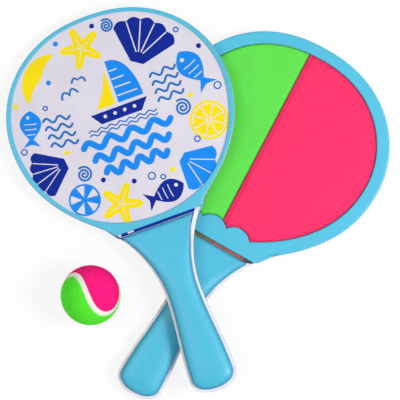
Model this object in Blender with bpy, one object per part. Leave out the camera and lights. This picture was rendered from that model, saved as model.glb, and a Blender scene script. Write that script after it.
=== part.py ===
"""Hook and loop catch set: two wooden paddles, lying crossed, and a felt ball.

Units are metres, +Z up. Both paddles are the same product. The front one lies print side up
over the rear one, which lies hook side up. A paddle is made in a frame of its own: its origin
is at the middle of the head, +Y runs to the tip, -Y to the end of the handle, and the print
side faces +Z. The set stands on z = 0 with its plan centred on the origin.
"""
import math

import bmesh
import bpy
import numpy as np
from mathutils import Matrix, Vector
from mathutils.bvhtree import BVHTree
from mathutils.geometry import tessellate_polygon

# Outline of the board, measured from the middle of the head
HEAD_HALF_WIDTH = 0.115
HEAD_TO_TIP = 0.101
HEAD_TO_NECK = 0.1408
SIDE_ROUNDNESS = 2.0
TIP_ROUNDNESS = 2.17
NECK_END_ROUNDNESS = 1.126
WAIST_HALF_WIDTH = 0.018
HEAD_TO_WAIST = 0.1916
BUTT_HALF_WIDTH = 0.024
WAIST_TO_BULGE = 0.0873
BULGE_TO_END = 0.0167
BUTT_ROUNDNESS = 2.16

# Thickness of each layer
BOARD_THICKNESS = 0.005
BOARD_EDGE_ROUND = 0.0008
FILM_THICKNESS = 0.0004
INK_RELIEF = 0.00015
PRINT_RIM_THICKNESS = 0.0016
HOOK_RIM_THICKNESS = 0.0032
PAD_THICKNESS = 0.0019
RIM_EDGE_ROUND = 0.0009
PAD_EDGE_ROUND = 0.0006
CLEARANCE = 0.0003

# Slots between the rims and the grips, across the neck
HEAD_TO_PRINT_SLOT = 0.1192
HEAD_TO_HOOK_SLOT = 0.1236
SLOT_WIDTH = 0.0036
RIM_INSET = 0.0003
FILM_INSET = 0.0012

# Window in the print side's rim
PRINT_RIM_SIDE_WIDTH = 0.005
PRINT_RIM_TIP_WIDTH = 0.0042
PRINT_WINDOW_FOOT = 0.1115
PRINT_WINDOW_SIDE_ROUNDNESS = 1.96
PRINT_WINDOW_FOOT_ROUNDNESS = 2.15
HEAD_TO_PRINT_MIDDLE = 0.0072

# Window in the hook side's rim, with two scallops at its foot
HOOK_RIM_SIDE_WIDTH = 0.0133
HOOK_RIM_TIP_WIDTH = 0.012
HOOK_WINDOW_REACH = 0.1143
HOOK_WINDOW_FOOT_ROUNDNESS = 1.476
SCALLOP_RADIUS = 0.0165
SCALLOP_HALF_SPACING = 0.0134
HEAD_TO_SCALLOPS = 0.115
SCALLOP_RUN_IN = 1.04

# Seam between the two pads, seen from the hook side
SEAM_OFFSET = -0.0098
SEAM_TILT = math.radians(1.7)

# Grips
GRIP_MARGIN = 0.0027
GRIP_CROWN = 0.0075
GRIP_CROWN_AT_SLOT = 0.0026
GRIP_SIDE_WALL = 0.0008
GRIP_ROLL = 0.0135
GRIP_ROLL_AT_SLOT = 0.0045
GRIP_LIP = 0.0012
GRIP_LIP_DROP = 0.6
GRIP_ROUNDNESS = 2.4

# Ball
BALL_DIAMETER = 0.060
FELT_THICKNESS = 0.0025
SEAM_WIDTH = 0.0056
SEAM_DEPTH = 0.0006
SEAM_WANDER = 0.2
BALL_TURN = (math.radians(97.1), math.radians(4.3), math.radians(-164.7))

# Places of the three things, with the paddles' angles from upright
FRONT_HEAD = (-0.0796, 0.0915)
FRONT_ANGLE = math.radians(19.67)
REAR_HEAD = (0.0786, 0.0654)
REAR_ANGLE = math.radians(-29.41)
BALL_PLACE = (-0.1079, -0.0923)

# Fineness of the meshes
HEAD_STEPS = 13
NECK_STEPS = 7
HANDLE_STEPS = 5
BUTT_STEPS = 6
SCALLOP_STEPS = 6
GRIP_COLUMNS = 9
BALL_STEPS = 44
BALL_RINGS = 8
SETTLE_PASSES = 6
SETTLE_GRID = 0.0025

# Colours
LIGHT_BLUE = (0.115, 0.552, 0.768)
RIM_BLUE = (0.107, 0.578, 0.831)
NAVY = (0.010, 0.030, 0.330)
AZURE = (0.010, 0.262, 0.930)
YELLOW = (0.914, 0.730, 0.004)
PALE_FILM = (0.716, 0.687, 0.776)
BARE_WOOD = (0.305, 0.091, 0.061)
PAD_GREEN = (0.147, 0.783, 0.098)
PAD_PINK = (1.0, 0.045, 0.171)
FELT_PINK = (1.0, 0.013, 0.223)
FELT_GREEN = (0.061, 0.716, 0.021)
SEAM_WHITE = (0.831, 0.791, 0.753)
FOAM_GREY = (0.35, 0.35, 0.36)


def clear_scene():
    for item in list(bpy.data.objects):
        bpy.data.objects.remove(item, do_unlink=True)


def make_material(name, colour, roughness):
    material = bpy.data.materials.new(name)
    material.use_nodes = True
    shader = material.node_tree.nodes["Principled BSDF"]
    shader.inputs["Base Color"].default_value = (*colour, 1.0)
    shader.inputs["Roughness"].default_value = roughness
    shader.inputs["Metallic"].default_value = 0.0
    material.diffuse_color = (*colour, 1.0)
    return material


def smoothstep(value):
    value = min(max(value, 0.0), 1.0)
    return value * value * (3.0 - 2.0 * value)


def mix(start, end, share):
    return start + (end - start) * share


def oval_quarter(half_width, reach, side_roundness, end_roundness, steps):
    """Points of a superellipse quarter from its side (x = half_width) to its end (y = reach)."""
    points = []
    for step in range(steps + 1):
        share = step / steps
        angle = share * math.pi / 2
        power = 2.0 / mix(side_roundness, end_roundness, share)
        across = half_width * max(math.cos(angle), 0.0) ** power
        along = reach * math.sin(angle) ** power
        points.append(Vector((across, along)))
    points[-1].x = 0.0
    return points


def neck_arc():
    """Arc of the neck, tangent to the head's lower curve and to the waist, from head to waist."""
    head = oval_quarter(HEAD_HALF_WIDTH, HEAD_TO_NECK, SIDE_ROUNDNESS, NECK_END_ROUNDNESS, 900)
    low = 0.0
    high = 4.0 * HEAD_TO_WAIST
    for _ in range(50):
        radius = (low + high) / 2
        centre = Vector((WAIST_HALF_WIDTH + radius, HEAD_TO_WAIST))
        nearest = min(head, key=lambda point: (point - centre).length)
        if (nearest - centre).length > radius:
            low = radius
        else:
            high = radius
    start = math.atan2(centre.y - nearest.y, centre.x - nearest.x)
    points = []
    for step in range(NECK_STEPS + 1):
        angle = mix(start, 0.0, step / NECK_STEPS)
        across = centre.x - radius * math.cos(angle)
        along = centre.y - radius * math.sin(angle)
        points.append(Vector((across, along)))
    return points


def board_side():
    """Right side of the board from tip to butt, as points (x, y) with y towards the tip."""
    tip = oval_quarter(HEAD_HALF_WIDTH, HEAD_TO_TIP, SIDE_ROUNDNESS, TIP_ROUNDNESS, HEAD_STEPS)
    side = list(reversed(tip))
    neck = neck_arc()
    lower = oval_quarter(HEAD_HALF_WIDTH, HEAD_TO_NECK, SIDE_ROUNDNESS, NECK_END_ROUNDNESS,
                         HEAD_STEPS)
    spare = 0.3 * (lower[1] - lower[0]).length
    side += [Vector((point.x, -point.y)) for point in lower[1:] if point.y < neck[0].y - spare]
    side += [Vector((point.x, -point.y)) for point in neck]
    for step in range(1, HANDLE_STEPS + 1):
        share = step / HANDLE_STEPS
        across = mix(WAIST_HALF_WIDTH, BUTT_HALF_WIDTH, smoothstep(share))
        side.append(Vector((across, -HEAD_TO_WAIST - WAIST_TO_BULGE * share)))
    butt = oval_quarter(BUTT_HALF_WIDTH, BULGE_TO_END, BUTT_ROUNDNESS, BUTT_ROUNDNESS, BUTT_STEPS)
    side += [Vector((point.x, -HEAD_TO_WAIST - WAIST_TO_BULGE - point.y)) for point in butt[1:]]
    return side


def closed_outline(side):
    """Anticlockwise outline from the right side of a shape that mirrors across x = 0."""
    right = list(reversed(side))
    left = [Vector((-point.x, point.y)) for point in side if point.x > 0.0]
    return right + left


def cut_across(side, depth):
    """Right side of a shape, cut straight across at y = -depth, with the cut's middle left out."""
    kept = []
    for above, below in zip(side, side[1:]):
        kept.append(above)
        if below.y <= -depth < above.y:
            share = (above.y + depth) / (above.y - below.y)
            kept.append(above.lerp(below, share))
            return kept
    return kept


def inset(outline, distance):
    """Moves each edge of an anticlockwise outline inwards by a distance."""
    moved = []
    for index, corner in enumerate(outline):
        before = (corner - outline[index - 1]).normalized()
        after = (outline[(index + 1) % len(outline)] - corner).normalized()
        inward = Vector((-before.y - after.y, before.x + after.x))
        moved.append(corner + inward * distance / (1.0 + before.dot(after)))
    return moved


def rim_outline(side, slot):
    """Outline of a rim: the board's, cut across at the slot and drawn in a little."""
    return inset(closed_outline(cut_across(side, slot - SLOT_WIDTH / 2 + RIM_INSET)), RIM_INSET)


def print_window():
    half_width = HEAD_HALF_WIDTH - PRINT_RIM_SIDE_WIDTH
    tip = HEAD_TO_TIP - PRINT_RIM_TIP_WIDTH
    upper = oval_quarter(half_width, tip, SIDE_ROUNDNESS, TIP_ROUNDNESS, HEAD_STEPS)
    lower = oval_quarter(half_width, PRINT_WINDOW_FOOT, PRINT_WINDOW_SIDE_ROUNDNESS,
                         PRINT_WINDOW_FOOT_ROUNDNESS, HEAD_STEPS)
    side = list(reversed(upper)) + [Vector((point.x, -point.y)) for point in lower[1:]]
    return closed_outline(side)


def hook_window(shrink):
    """Window of the hook side's rim, made smaller all round by a distance."""
    half_width = HEAD_HALF_WIDTH - HOOK_RIM_SIDE_WIDTH - shrink
    tip = HEAD_TO_TIP - HOOK_RIM_TIP_WIDTH - shrink
    upper = oval_quarter(half_width, tip, SIDE_ROUNDNESS, TIP_ROUNDNESS, HEAD_STEPS)
    lower = oval_quarter(half_width, HOOK_WINDOW_REACH - shrink, SIDE_ROUNDNESS,
                         HOOK_WINDOW_FOOT_ROUNDNESS, HEAD_STEPS)
    centre = Vector((SCALLOP_HALF_SPACING, -HEAD_TO_SCALLOPS))
    radius = SCALLOP_RADIUS + shrink
    side = list(reversed(upper))
    for point in lower[1:]:
        corner = Vector((point.x, -point.y))
        if (corner - centre).length < SCALLOP_RUN_IN * radius:
            break
        side.append(corner)
    last = side[-1] - centre
    cusp = math.acos(-SCALLOP_HALF_SPACING / radius)
    start = math.atan2(last.y, last.x)
    for step in range(SCALLOP_STEPS + 1):
        angle = mix(start, cusp, step / SCALLOP_STEPS)
        corner = centre + Vector((radius * math.cos(angle), radius * math.sin(angle)))
        side.append(corner)
    side[-1].x = 0.0
    return closed_outline(side)


def beside_seam(outline, sign):
    """Part of an outline on one side of the seam: sign +1 keeps the right, -1 the left."""
    normal = Vector((math.cos(SEAM_TILT), math.sin(SEAM_TILT)))
    offset = sign * SEAM_OFFSET * normal.x + CLEARANCE / 2
    kept = []
    for index, corner in enumerate(outline):
        previous = outline[index - 1]
        side_before = sign * previous.dot(normal) - offset
        side_here = sign * corner.dot(normal) - offset
        if side_before * side_here < 0.0:
            kept.append(previous.lerp(corner, side_before / (side_before - side_here)))
        if side_here > 0.0:
            kept.append(corner)
    return kept


def add_object(name, vertices, faces, material, frame, parent):
    """Object from points in a face's frame, turned into the paddle's frame."""
    mesh = bpy.data.meshes.new(name)
    mesh.from_pydata([frame @ Vector(point) for point in vertices], [], faces)
    mesh.materials.append(material)
    mesh.update()
    work = bmesh.new()
    work.from_mesh(mesh)
    bmesh.ops.triangulate(work, faces=work.faces)
    bmesh.ops.recalc_face_normals(work, faces=work.faces)
    work.to_mesh(mesh)
    work.free()
    mesh.shade_smooth()
    mesh.set_sharp_from_angle(angle=math.radians(35))
    item = bpy.data.objects.new(name, mesh)
    bpy.context.scene.collection.objects.link(item)
    item.parent = parent
    return item


def add_slab(name, outline, levels, material, frame, parent, window=None):
    """Slab with rounded edges: levels are pairs of height and how far the edge is drawn in."""
    vertices = []
    faces = []
    rings = []
    for height, drawn_in in levels:
        loops = [inset(outline, drawn_in)]
        if window:
            loops.append(inset(window, -drawn_in))
        ring = []
        for loop in loops:
            ring.append(range(len(vertices), len(vertices) + len(loop)))
            vertices += [(point.x, point.y, height) for point in loop]
        rings.append(ring)
    for lower, upper in zip(rings, rings[1:]):
        for loop_below, loop_above in zip(lower, upper):
            count = len(loop_below)
            for index in range(count):
                after = (index + 1) % count
                faces.append((loop_below[index], loop_below[after],
                              loop_above[after], loop_above[index]))
    for ring in (rings[0], rings[-1]):
        flat = [[Vector(vertices[index]) for index in loop] for loop in ring]
        indices = [index for loop in ring for index in loop]
        faces += [tuple(indices[corner] for corner in triangle)
                  for triangle in tessellate_polygon(flat)]
    return add_object(name, vertices, faces, material, frame, parent)


def edge_distance(points, line):
    """Shortest distance from each point to an open line of points."""
    spots = np.array([(point[0], point[1]) for point in points])
    starts = np.array([(point.x, point.y) for point in line[:-1]])
    steps = np.array([(point.x, point.y) for point in line[1:]]) - starts
    reach = spots[:, None, :] - starts[None, :, :]
    share = (reach * steps).sum(axis=2) / (steps ** 2).sum(axis=1)
    nearest = np.clip(share, 0.0, 1.0)[:, :, None] * steps
    return np.sqrt(((reach - nearest) ** 2).sum(axis=2)).min(axis=1)


def roll_off(share):
    """Height of a soft rounded edge, from 0 at the edge to 1 where it meets the crown."""
    return (1.0 - (1.0 - min(share, 1.0)) ** GRIP_ROUNDNESS) ** (1 / GRIP_ROUNDNESS)


def add_grip(name, side, slot, base, material, frame, parent):
    """Domed grip over one side of the handle, inside the board's edge and below the slot."""
    outline = inset(closed_outline(side), GRIP_MARGIN)
    top = slot + SLOT_WIDTH / 2
    right = list(reversed(outline[:len(side)]))
    edge = [right[0]]
    for above, below in zip(right, right[1:]):
        if below.y < -top <= above.y:
            edge = [above.lerp(below, (above.y + top) / (above.y - below.y))]
            lip = Vector((0.0, -top - GRIP_LIP))
            share = (above.y - lip.y) / (above.y - below.y)
            if share < 1.0:
                edge.append(above.lerp(below, share))
        if below.y < -top - 1.5 * GRIP_LIP:
            edge.append(below)
    rows = edge[:-1]
    spread = [math.sin(math.pi * (column / (GRIP_COLUMNS - 1) - 0.5))
              for column in range(GRIP_COLUMNS)]
    flat = [(row.x * across, row.y) for row in rows for across in spread]
    distances = edge_distance([(abs(x), y) for x, y in flat], edge)
    vertices = []
    for (x, y), distance in zip(flat, distances):
        along = smoothstep((-y - top) / (HEAD_TO_WAIST - top))
        crown = mix(GRIP_CROWN_AT_SLOT, GRIP_CROWN, along) - GRIP_SIDE_WALL
        roll = mix(GRIP_ROLL_AT_SLOT, GRIP_ROLL, along)
        lip = mix(GRIP_LIP_DROP, 1.0, min((-y - top) / GRIP_LIP, 1.0))
        vertices.append((x, y, base + GRIP_SIDE_WALL + crown * lip * roll_off(distance / roll)))
    count = GRIP_COLUMNS
    faces = []
    for row in range(len(rows) - 1):
        for column in range(count - 1):
            first = row * count + column
            faces.append((first, first + count, first + count + 1, first + 1))
    butt = len(vertices)
    vertices.append((0.0, edge[-1].y, base + GRIP_SIDE_WALL))
    last = (len(rows) - 1) * count
    for column in range(count - 1):
        faces.append((last + column, butt, last + column + 1))
    under = len(vertices)
    for row in rows:
        vertices.append((-row.x, row.y, base))
        vertices.append((row.x, row.y, base))
    under_butt = len(vertices)
    vertices.append((0.0, edge[-1].y, base))
    for row in range(len(rows) - 1):
        left = under + 2 * row
        faces.append((left, left + 1, left + 3, left + 2))
        faces.append((left, left + 2, (row + 1) * count, row * count))
        faces.append((left + 3, left + 1, row * count + count - 1, (row + 2) * count - 1))
    left = under_butt - 2
    faces.append((left, left + 1, under_butt))
    faces.append((left, under_butt, butt, last))
    faces.append((under_butt, left + 1, last + count - 1, butt))
    faces.append(tuple([under + 1, under] + list(range(count))))
    return add_object(name, vertices, faces, material, frame, parent)


def star_shape(arms, radius, waist, steps):
    points = []
    for step in range(arms * steps):
        angle = 2 * math.pi * step / (arms * steps)
        bulge = (0.5 + 0.5 * math.cos(arms * angle)) ** 1.3
        reach = radius * mix(waist, 1.0, bulge)
        points.append((reach * math.cos(angle), reach * math.sin(angle)))
    return points


def fan_shape(radius, spread, lobes):
    """Fan with a lobed rim, opening along +X from a small foot."""
    notch = 0.06 * radius
    foot_reach = 0.12 * radius
    foot_half_width = 0.16 * radius
    steps = lobes * 3
    points = [(-foot_reach, -foot_half_width)]
    for step in range(steps + 1):
        angle = mix(-spread / 2, spread / 2, step / steps)
        reach = radius - notch * (0.5 + 0.5 * math.cos(2 * math.pi * step / 3))
        points.append((reach * math.cos(angle), reach * math.sin(angle)))
    points.append((-foot_reach, foot_half_width))
    return points


def fish_shape(length, depth):
    """Fish swimming along +X, with a forked tail."""
    body = 0.78 * length
    upper = []
    for step in range(9):
        share = step / 8
        reach = math.sin(0.94 * math.pi * share ** 0.8)
        upper.append((length / 2 - share * body, depth / 2 * reach))
    tail = [(-length * 0.5, depth * 0.42), (-length * 0.42, 0.0)]
    lower = [(x, -y) for x, y in reversed([*upper[1:], tail[0]])]
    return [*upper, *tail, *lower]


def crescent_shape(radius, thickness, spread):
    outer = []
    inner = []
    for step in range(9):
        share = step / 8
        angle = mix(-spread / 2, spread / 2, share)
        width = thickness * math.sin(math.pi * mix(0.06, 0.94, share))
        outer.append((radius * math.cos(angle), radius * math.sin(angle)))
        inner.append(((radius - width) * math.cos(angle), (radius - width) * math.sin(angle)))
    return outer + list(reversed(inner))


def wave_shape(length, height, waves, thickness):
    upper = []
    lower = []
    steps = waves * 6
    for step in range(steps + 1):
        share = step / steps
        x = length * (share - 0.5)
        y = height / 2 * math.sin(2 * math.pi * waves * share)
        upper.append((x, y + thickness / 2))
        lower.append((x, y - thickness / 2))
    return lower + list(reversed(upper))


def leaf_shape(length, width):
    upper = []
    for step in range(8):
        share = step / 7
        upper.append((length * (share - 0.5), width / 2 * math.sin(math.pi * share) ** 0.8))
    lower = [(x, -y) for x, y in reversed(upper[1:-1])]
    return upper + lower


def disc_shape(radius, steps):
    points = []
    for step in range(steps):
        angle = 2 * math.pi * step / steps
        points.append((radius * math.cos(angle), radius * math.sin(angle)))
    return points


def print_fields():
    """Ink fields of the print: shape, place from its middle as shares of its size, turn, colour."""
    unit = HEAD_HALF_WIDTH
    fields = [
        (star_shape(5, 0.19 * unit, 0.42, 4), (-0.13, 0.69), 100, "yellow"),
        (fan_shape(0.36 * unit, math.radians(110), 5), (0.31, 0.44), 56, "navy"),
        (fish_shape(0.40 * unit, 0.22 * unit), (0.73, 0.18), 112, "azure"),
        (disc_shape(0.17 * unit, 16), (0.71, -0.28), 0, "yellow"),
        (fan_shape(0.28 * unit, math.radians(110), 4), (0.40, -0.53), -48, "azure"),
        (fish_shape(0.36 * unit, 0.20 * unit), (0.14, -0.75), 8, "navy"),
        (star_shape(5, 0.19 * unit, 0.42, 4), (-0.25, -0.71), 55, "yellow"),
        (disc_shape(0.14 * unit, 16), (-0.54, -0.57), 0, "azure"),
        (fan_shape(0.29 * unit, math.radians(100), 5), (-0.62, -0.22), 187, "navy"),
        (fish_shape(0.32 * unit, 0.19 * unit), (-0.78, 0.17), 75, "azure"),
        (crescent_shape(0.27 * unit, 0.15 * unit, math.radians(125)), (-0.47, 0.47), 135, "yellow"),
    ]
    for row in range(3):
        band = wave_shape((0.86 - 0.12 * row) * unit, 0.085 * unit, 4, 0.062 * unit)
        fields.append((band, (0.0, -0.15 - 0.13 * row), 0, "azure"))
    sail = [(0.0, 0.0), (0.23 * unit, 0.0), (0.0, 0.38 * unit)]
    jib = [(0.0, 0.0), (0.0, 0.31 * unit), (-0.17 * unit, 0.0)]
    hull = [(-0.18 * unit, 0.0), (0.19 * unit, 0.0), (0.27 * unit, 0.10 * unit),
            (-0.25 * unit, 0.10 * unit)]
    fields.append((sail, (0.02, 0.13), 0, "azure"))
    fields.append((jib, (-0.01, 0.13), 0, "yellow"))
    fields.append((hull, (0.0, 0.0), 0, "navy"))
    return fields


def add_ink(name, materials, bottom, top, frame, parent):
    """Cutter that holds the ink fields as thin plates, each with the colour of its ink."""
    colours = list(materials)
    work = bmesh.new()
    for shape, place, turn, colour in print_fields():
        angle = math.radians(turn)
        corners = []
        for x, y in shape:
            across = x * math.cos(angle) - y * math.sin(angle) + place[0] * HEAD_HALF_WIDTH
            along = x * math.sin(angle) + y * math.cos(angle) + place[1] * HEAD_HALF_WIDTH
            corners.append(work.verts.new((across, along - HEAD_TO_PRINT_MIDDLE, bottom)))
        face = work.faces.new(corners)
        face.material_index = colours.index(colour)
        raised = bmesh.ops.extrude_face_region(work, geom=[face])["geom"]
        moved = [part for part in raised if isinstance(part, bmesh.types.BMVert)]
        bmesh.ops.translate(work, verts=moved, vec=(0.0, 0.0, top - bottom))
    bmesh.ops.transform(work, matrix=frame, verts=work.verts)
    bmesh.ops.recalc_face_normals(work, faces=work.faces)
    mesh = bpy.data.meshes.new(name)
    work.to_mesh(mesh)
    work.free()
    for colour in colours:
        mesh.materials.append(materials[colour])
    cutter = bpy.data.objects.new(name, mesh)
    bpy.context.scene.collection.objects.link(cutter)
    cutter.parent = parent
    cutter.hide_render = True
    cutter.display_type = "WIRE"
    return cutter


def add_film(prefix, outline, base, materials, frame, parent):
    """Printed film over the head's face, with its ink standing a little proud."""
    top = base + FILM_THICKNESS
    levels = [(base, 0.0), (top, 0.0)]
    film = add_slab(prefix + "_print_film", outline, levels, materials["film"], frame, parent)
    inks = {name: materials[name] for name in ("navy", "azure", "yellow")}
    middle = base + FILM_THICKNESS / 2
    cutter = add_ink(prefix + "_ink", inks, middle, top + INK_RELIEF, frame, parent)
    union = film.modifiers.new("ink", "BOOLEAN")
    union.operation = "UNION"
    union.solver = "EXACT"
    union.material_mode = "TRANSFER"
    union.object = cutter
    return film


def rounded_top(bottom, top, rounding):
    """Levels of a slab with a square lower edge and a soft upper one."""
    return [(bottom, 0.0), (top - rounding, 0.0), (top - 0.3 * rounding, 0.3 * rounding),
            (top, rounding)]


def make_paddle(prefix, materials):
    """One paddle in its own frame, print side up, on an empty that carries it."""
    carrier = bpy.data.objects.new(prefix, None)
    bpy.context.scene.collection.objects.link(carrier)
    print_face = Matrix.Identity(4)
    hook_face = Matrix.Rotation(math.pi, 4, "Y")
    side = board_side()
    outline = closed_outline(side)
    half = BOARD_THICKNESS / 2
    soft = BOARD_EDGE_ROUND
    levels = [(-half, soft), (-half + soft, 0.0), (half - soft, 0.0), (half, soft)]
    add_slab(prefix + "_board", outline, levels, materials["wood"], print_face, carrier)

    base = half + CLEARANCE
    film_foot = HEAD_TO_PRINT_SLOT + SLOT_WIDTH / 2 - CLEARANCE
    film_side = cut_across(side, film_foot + FILM_INSET)
    film_outline = inset(closed_outline(film_side), FILM_INSET)
    add_film(prefix, film_outline, base, materials, print_face, carrier)

    rim_base = base + FILM_THICKNESS + CLEARANCE
    levels = rounded_top(rim_base, rim_base + PRINT_RIM_THICKNESS, RIM_EDGE_ROUND)
    add_slab(prefix + "_print_rim", rim_outline(side, HEAD_TO_PRINT_SLOT), levels,
             materials["rim"], print_face, carrier, print_window())
    levels = rounded_top(base, base + HOOK_RIM_THICKNESS, RIM_EDGE_ROUND)
    add_slab(prefix + "_hook_rim", rim_outline(side, HEAD_TO_HOOK_SLOT), levels,
             materials["rim"], hook_face, carrier, hook_window(0.0))

    pad_outline = hook_window(CLEARANCE)
    levels = rounded_top(base, base + PAD_THICKNESS, PAD_EDGE_ROUND)
    add_slab(prefix + "_pink_pad", beside_seam(pad_outline, 1), levels, materials["pink"],
             hook_face, carrier)
    add_slab(prefix + "_green_pad", beside_seam(pad_outline, -1), levels, materials["green"],
             hook_face, carrier)

    add_grip(prefix + "_print_grip", side, HEAD_TO_PRINT_SLOT, base, materials["grip"],
             print_face, carrier)
    add_grip(prefix + "_hook_grip", side, HEAD_TO_HOOK_SLOT, base, materials["grip"],
             hook_face, carrier)
    return carrier


def seam_curve(steps):
    """Points and directions of the ball's seam on a unit sphere, with the pink panel round +Z."""
    points = []
    for step in range(steps):
        turn = 2 * math.pi * step / steps
        straight = 1.0 - SEAM_WANDER
        across = straight * math.cos(turn) + SEAM_WANDER * math.cos(3 * turn)
        along = straight * math.sin(turn) - SEAM_WANDER * math.sin(3 * turn)
        up = 2 * math.sqrt(straight * SEAM_WANDER) * math.sin(2 * turn)
        points.append(Vector((across, along, up)).normalized())
    normals = []
    for index, point in enumerate(points):
        forward = points[(index + 1) % steps] - points[index - 1]
        normals.append(point.cross(forward).normalized())
    return points, normals


def add_ball_panel(name, pole_sign, material, parent):
    """Felt panel: a curved patch that reaches from its middle to the edge of the seam."""
    outer = BALL_DIAMETER / 2
    inner = outer - FELT_THICKNESS
    points, normals = seam_curve(BALL_STEPS)
    lean = (SEAM_WIDTH / 2 + CLEARANCE) / outer
    edge = [(point + pole_sign * normal * math.tan(lean)).normalized()
            for point, normal in zip(points, normals)]
    pole = Vector((0.0, 0.0, pole_sign))
    rings = BALL_RINGS
    vertices = []
    faces = []
    for radius in (outer, inner):
        start = len(vertices)
        vertices.append(tuple(pole * radius))
        for ring in range(1, rings + 1):
            for corner in edge:
                vertices.append(tuple(pole.slerp(corner, ring / rings) * radius))
        for index in range(BALL_STEPS):
            after = (index + 1) % BALL_STEPS
            faces.append((start, start + 1 + index, start + 1 + after))
            for ring in range(rings - 1):
                row = start + 1 + ring * BALL_STEPS
                faces.append((row + index, row + BALL_STEPS + index,
                              row + BALL_STEPS + after, row + after))
    shell = 1 + rings * BALL_STEPS
    rim = 1 + (rings - 1) * BALL_STEPS
    for index in range(BALL_STEPS):
        after = (index + 1) % BALL_STEPS
        faces.append((rim + index, rim + after, shell + rim + after, shell + rim + index))
    return add_object(name, vertices, faces, material, Matrix.Identity(4), parent)


def add_ball_seam(name, material, parent):
    """Band of the seam: a closed strip between the two panels, a little below the felt."""
    outer = BALL_DIAMETER / 2
    crown = outer - SEAM_DEPTH
    inner = outer - FELT_THICKNESS
    points, normals = seam_curve(BALL_STEPS)
    half = SEAM_WIDTH / 2 / outer
    section = [(-half, inner), (-half, crown - SEAM_DEPTH), (0.0, crown),
               (half, crown - SEAM_DEPTH), (half, inner)]
    vertices = []
    for point, normal in zip(points, normals):
        for lean, radius in section:
            vertices.append(tuple((point + normal * math.tan(lean)).normalized() * radius))
    faces = []
    count = len(section)
    total = len(vertices)
    for row in range(0, total, count):
        for corner in range(count):
            beside = (corner + 1) % count
            faces.append((row + corner, row + beside,
                          (row + count + beside) % total, (row + count + corner) % total))
    return add_object(name, vertices, faces, material, Matrix.Identity(4), parent)


def smallest_reach(item):
    """Shortest distance from the ball's middle to a piece of its cover."""
    corners = [vertex.co for vertex in item.data.vertices]
    faces = [tuple(face.vertices) for face in item.data.polygons]
    return BVHTree.FromPolygons(corners, faces).find_nearest(Vector((0.0, 0.0, 0.0)))[3]


def make_ball(materials):
    carrier = bpy.data.objects.new("ball", None)
    bpy.context.scene.collection.objects.link(carrier)
    pink = add_ball_panel("ball_pink_felt", 1, materials["felt_pink"], carrier)
    green = add_ball_panel("ball_green_felt", -1, materials["felt_green"], carrier)
    seam = add_ball_seam("ball_seam", materials["seam"], carrier)
    core_radius = min(smallest_reach(item) for item in (pink, green, seam)) - CLEARANCE
    work = bmesh.new()
    bmesh.ops.create_icosphere(work, subdivisions=3, radius=core_radius)
    vertices = [tuple(vertex.co) for vertex in work.verts]
    faces = [tuple(vertex.index for vertex in face.verts) for face in work.faces]
    work.free()
    add_object("ball_core", vertices, faces, materials["foam"], Matrix.Identity(4), carrier)
    return carrier


def world_mesh(carrier):
    """Vertices and triangles of all the pieces on a carrier, in world space."""
    vertices = []
    faces = []
    for child in carrier.children:
        if child.hide_render:
            continue
        start = len(vertices)
        vertices += [carrier.matrix_world @ vertex.co for vertex in child.data.vertices]
        faces += [tuple(start + index for index in face.vertices) for face in child.data.polygons]
    return vertices, faces


def balance_point(carrier):
    """Middle of a carrier's solids, taken as of one density."""
    vertices, faces = world_mesh(carrier)
    weight = 0.0
    moment = Vector((0.0, 0.0, 0.0))
    for face in faces:
        first, second, third = (vertices[index] for index in face)
        volume = first.dot(second.cross(third))
        weight += volume
        moment += volume * (first + second + third) / 4.0
    return moment / weight


def holds(corners, spot):
    """Whether a triangle of points holds a spot, seen in plan."""
    signs = []
    for index in range(3):
        start = corners[index - 1]
        end = corners[index]
        signs.append((end[0] - start[0]) * (spot[1] - start[1])
                     - (end[1] - start[1]) * (spot[0] - start[0]))
    return min(signs) >= 0.0 or max(signs) <= 0.0


def resting_plane(points, spot):
    """Lowest plane at a spot that passes no lower than any point: c + a x + b y as (a, b, c).

    It stands on three of the points, whose triangle holds the spot. Each step takes the point
    that stands highest above the plane as a new support.
    """
    far = 10.0
    supports = [np.array((-far, -far, -far)), np.array((far, -far, -far)),
                np.array((0.0, far, -far))]
    tolerance = 1e-8
    while True:
        rows = np.array([(support[0], support[1], 1.0) for support in supports])
        plane = np.linalg.solve(rows, np.array([support[2] for support in supports]))
        excess = points[:, 2] - points[:, :2] @ plane[:2] - plane[2]
        worst = points[int(np.argmax(excess))]
        if excess.max() < tolerance:
            return plane
        for index in range(3):
            trial = supports[:index] + [worst] + supports[index + 1:]
            if holds(trial, spot):
                supports = trial
                break
        else:
            return plane


def lifts_over(mover, below):
    """Height by which each spot of one carrier has to rise to clear the pieces of another."""
    upper = BVHTree.FromPolygons(*world_mesh(mover))
    lower = BVHTree.FromPolygons(*world_mesh(below))
    upper_points = np.array([tuple(vertex) for vertex in world_mesh(mover)[0]])
    lower_points = np.array([tuple(vertex) for vertex in world_mesh(below)[0]])
    low = np.maximum(upper_points.min(axis=0), lower_points.min(axis=0))
    high = np.minimum(upper_points.max(axis=0), lower_points.max(axis=0))
    lifts = []
    for x in np.arange(low[0], high[0], SETTLE_GRID):
        for y in np.arange(low[1], high[1], SETTLE_GRID):
            under = upper.ray_cast(Vector((x, y, -1.0)), Vector((0.0, 0.0, 1.0)))[0]
            over = lower.ray_cast(Vector((x, y, 1.0)), Vector((0.0, 0.0, -1.0)))[0]
            if under and over:
                lifts.append((x, y, over.z + CLEARANCE - under.z))
    return lifts


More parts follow.
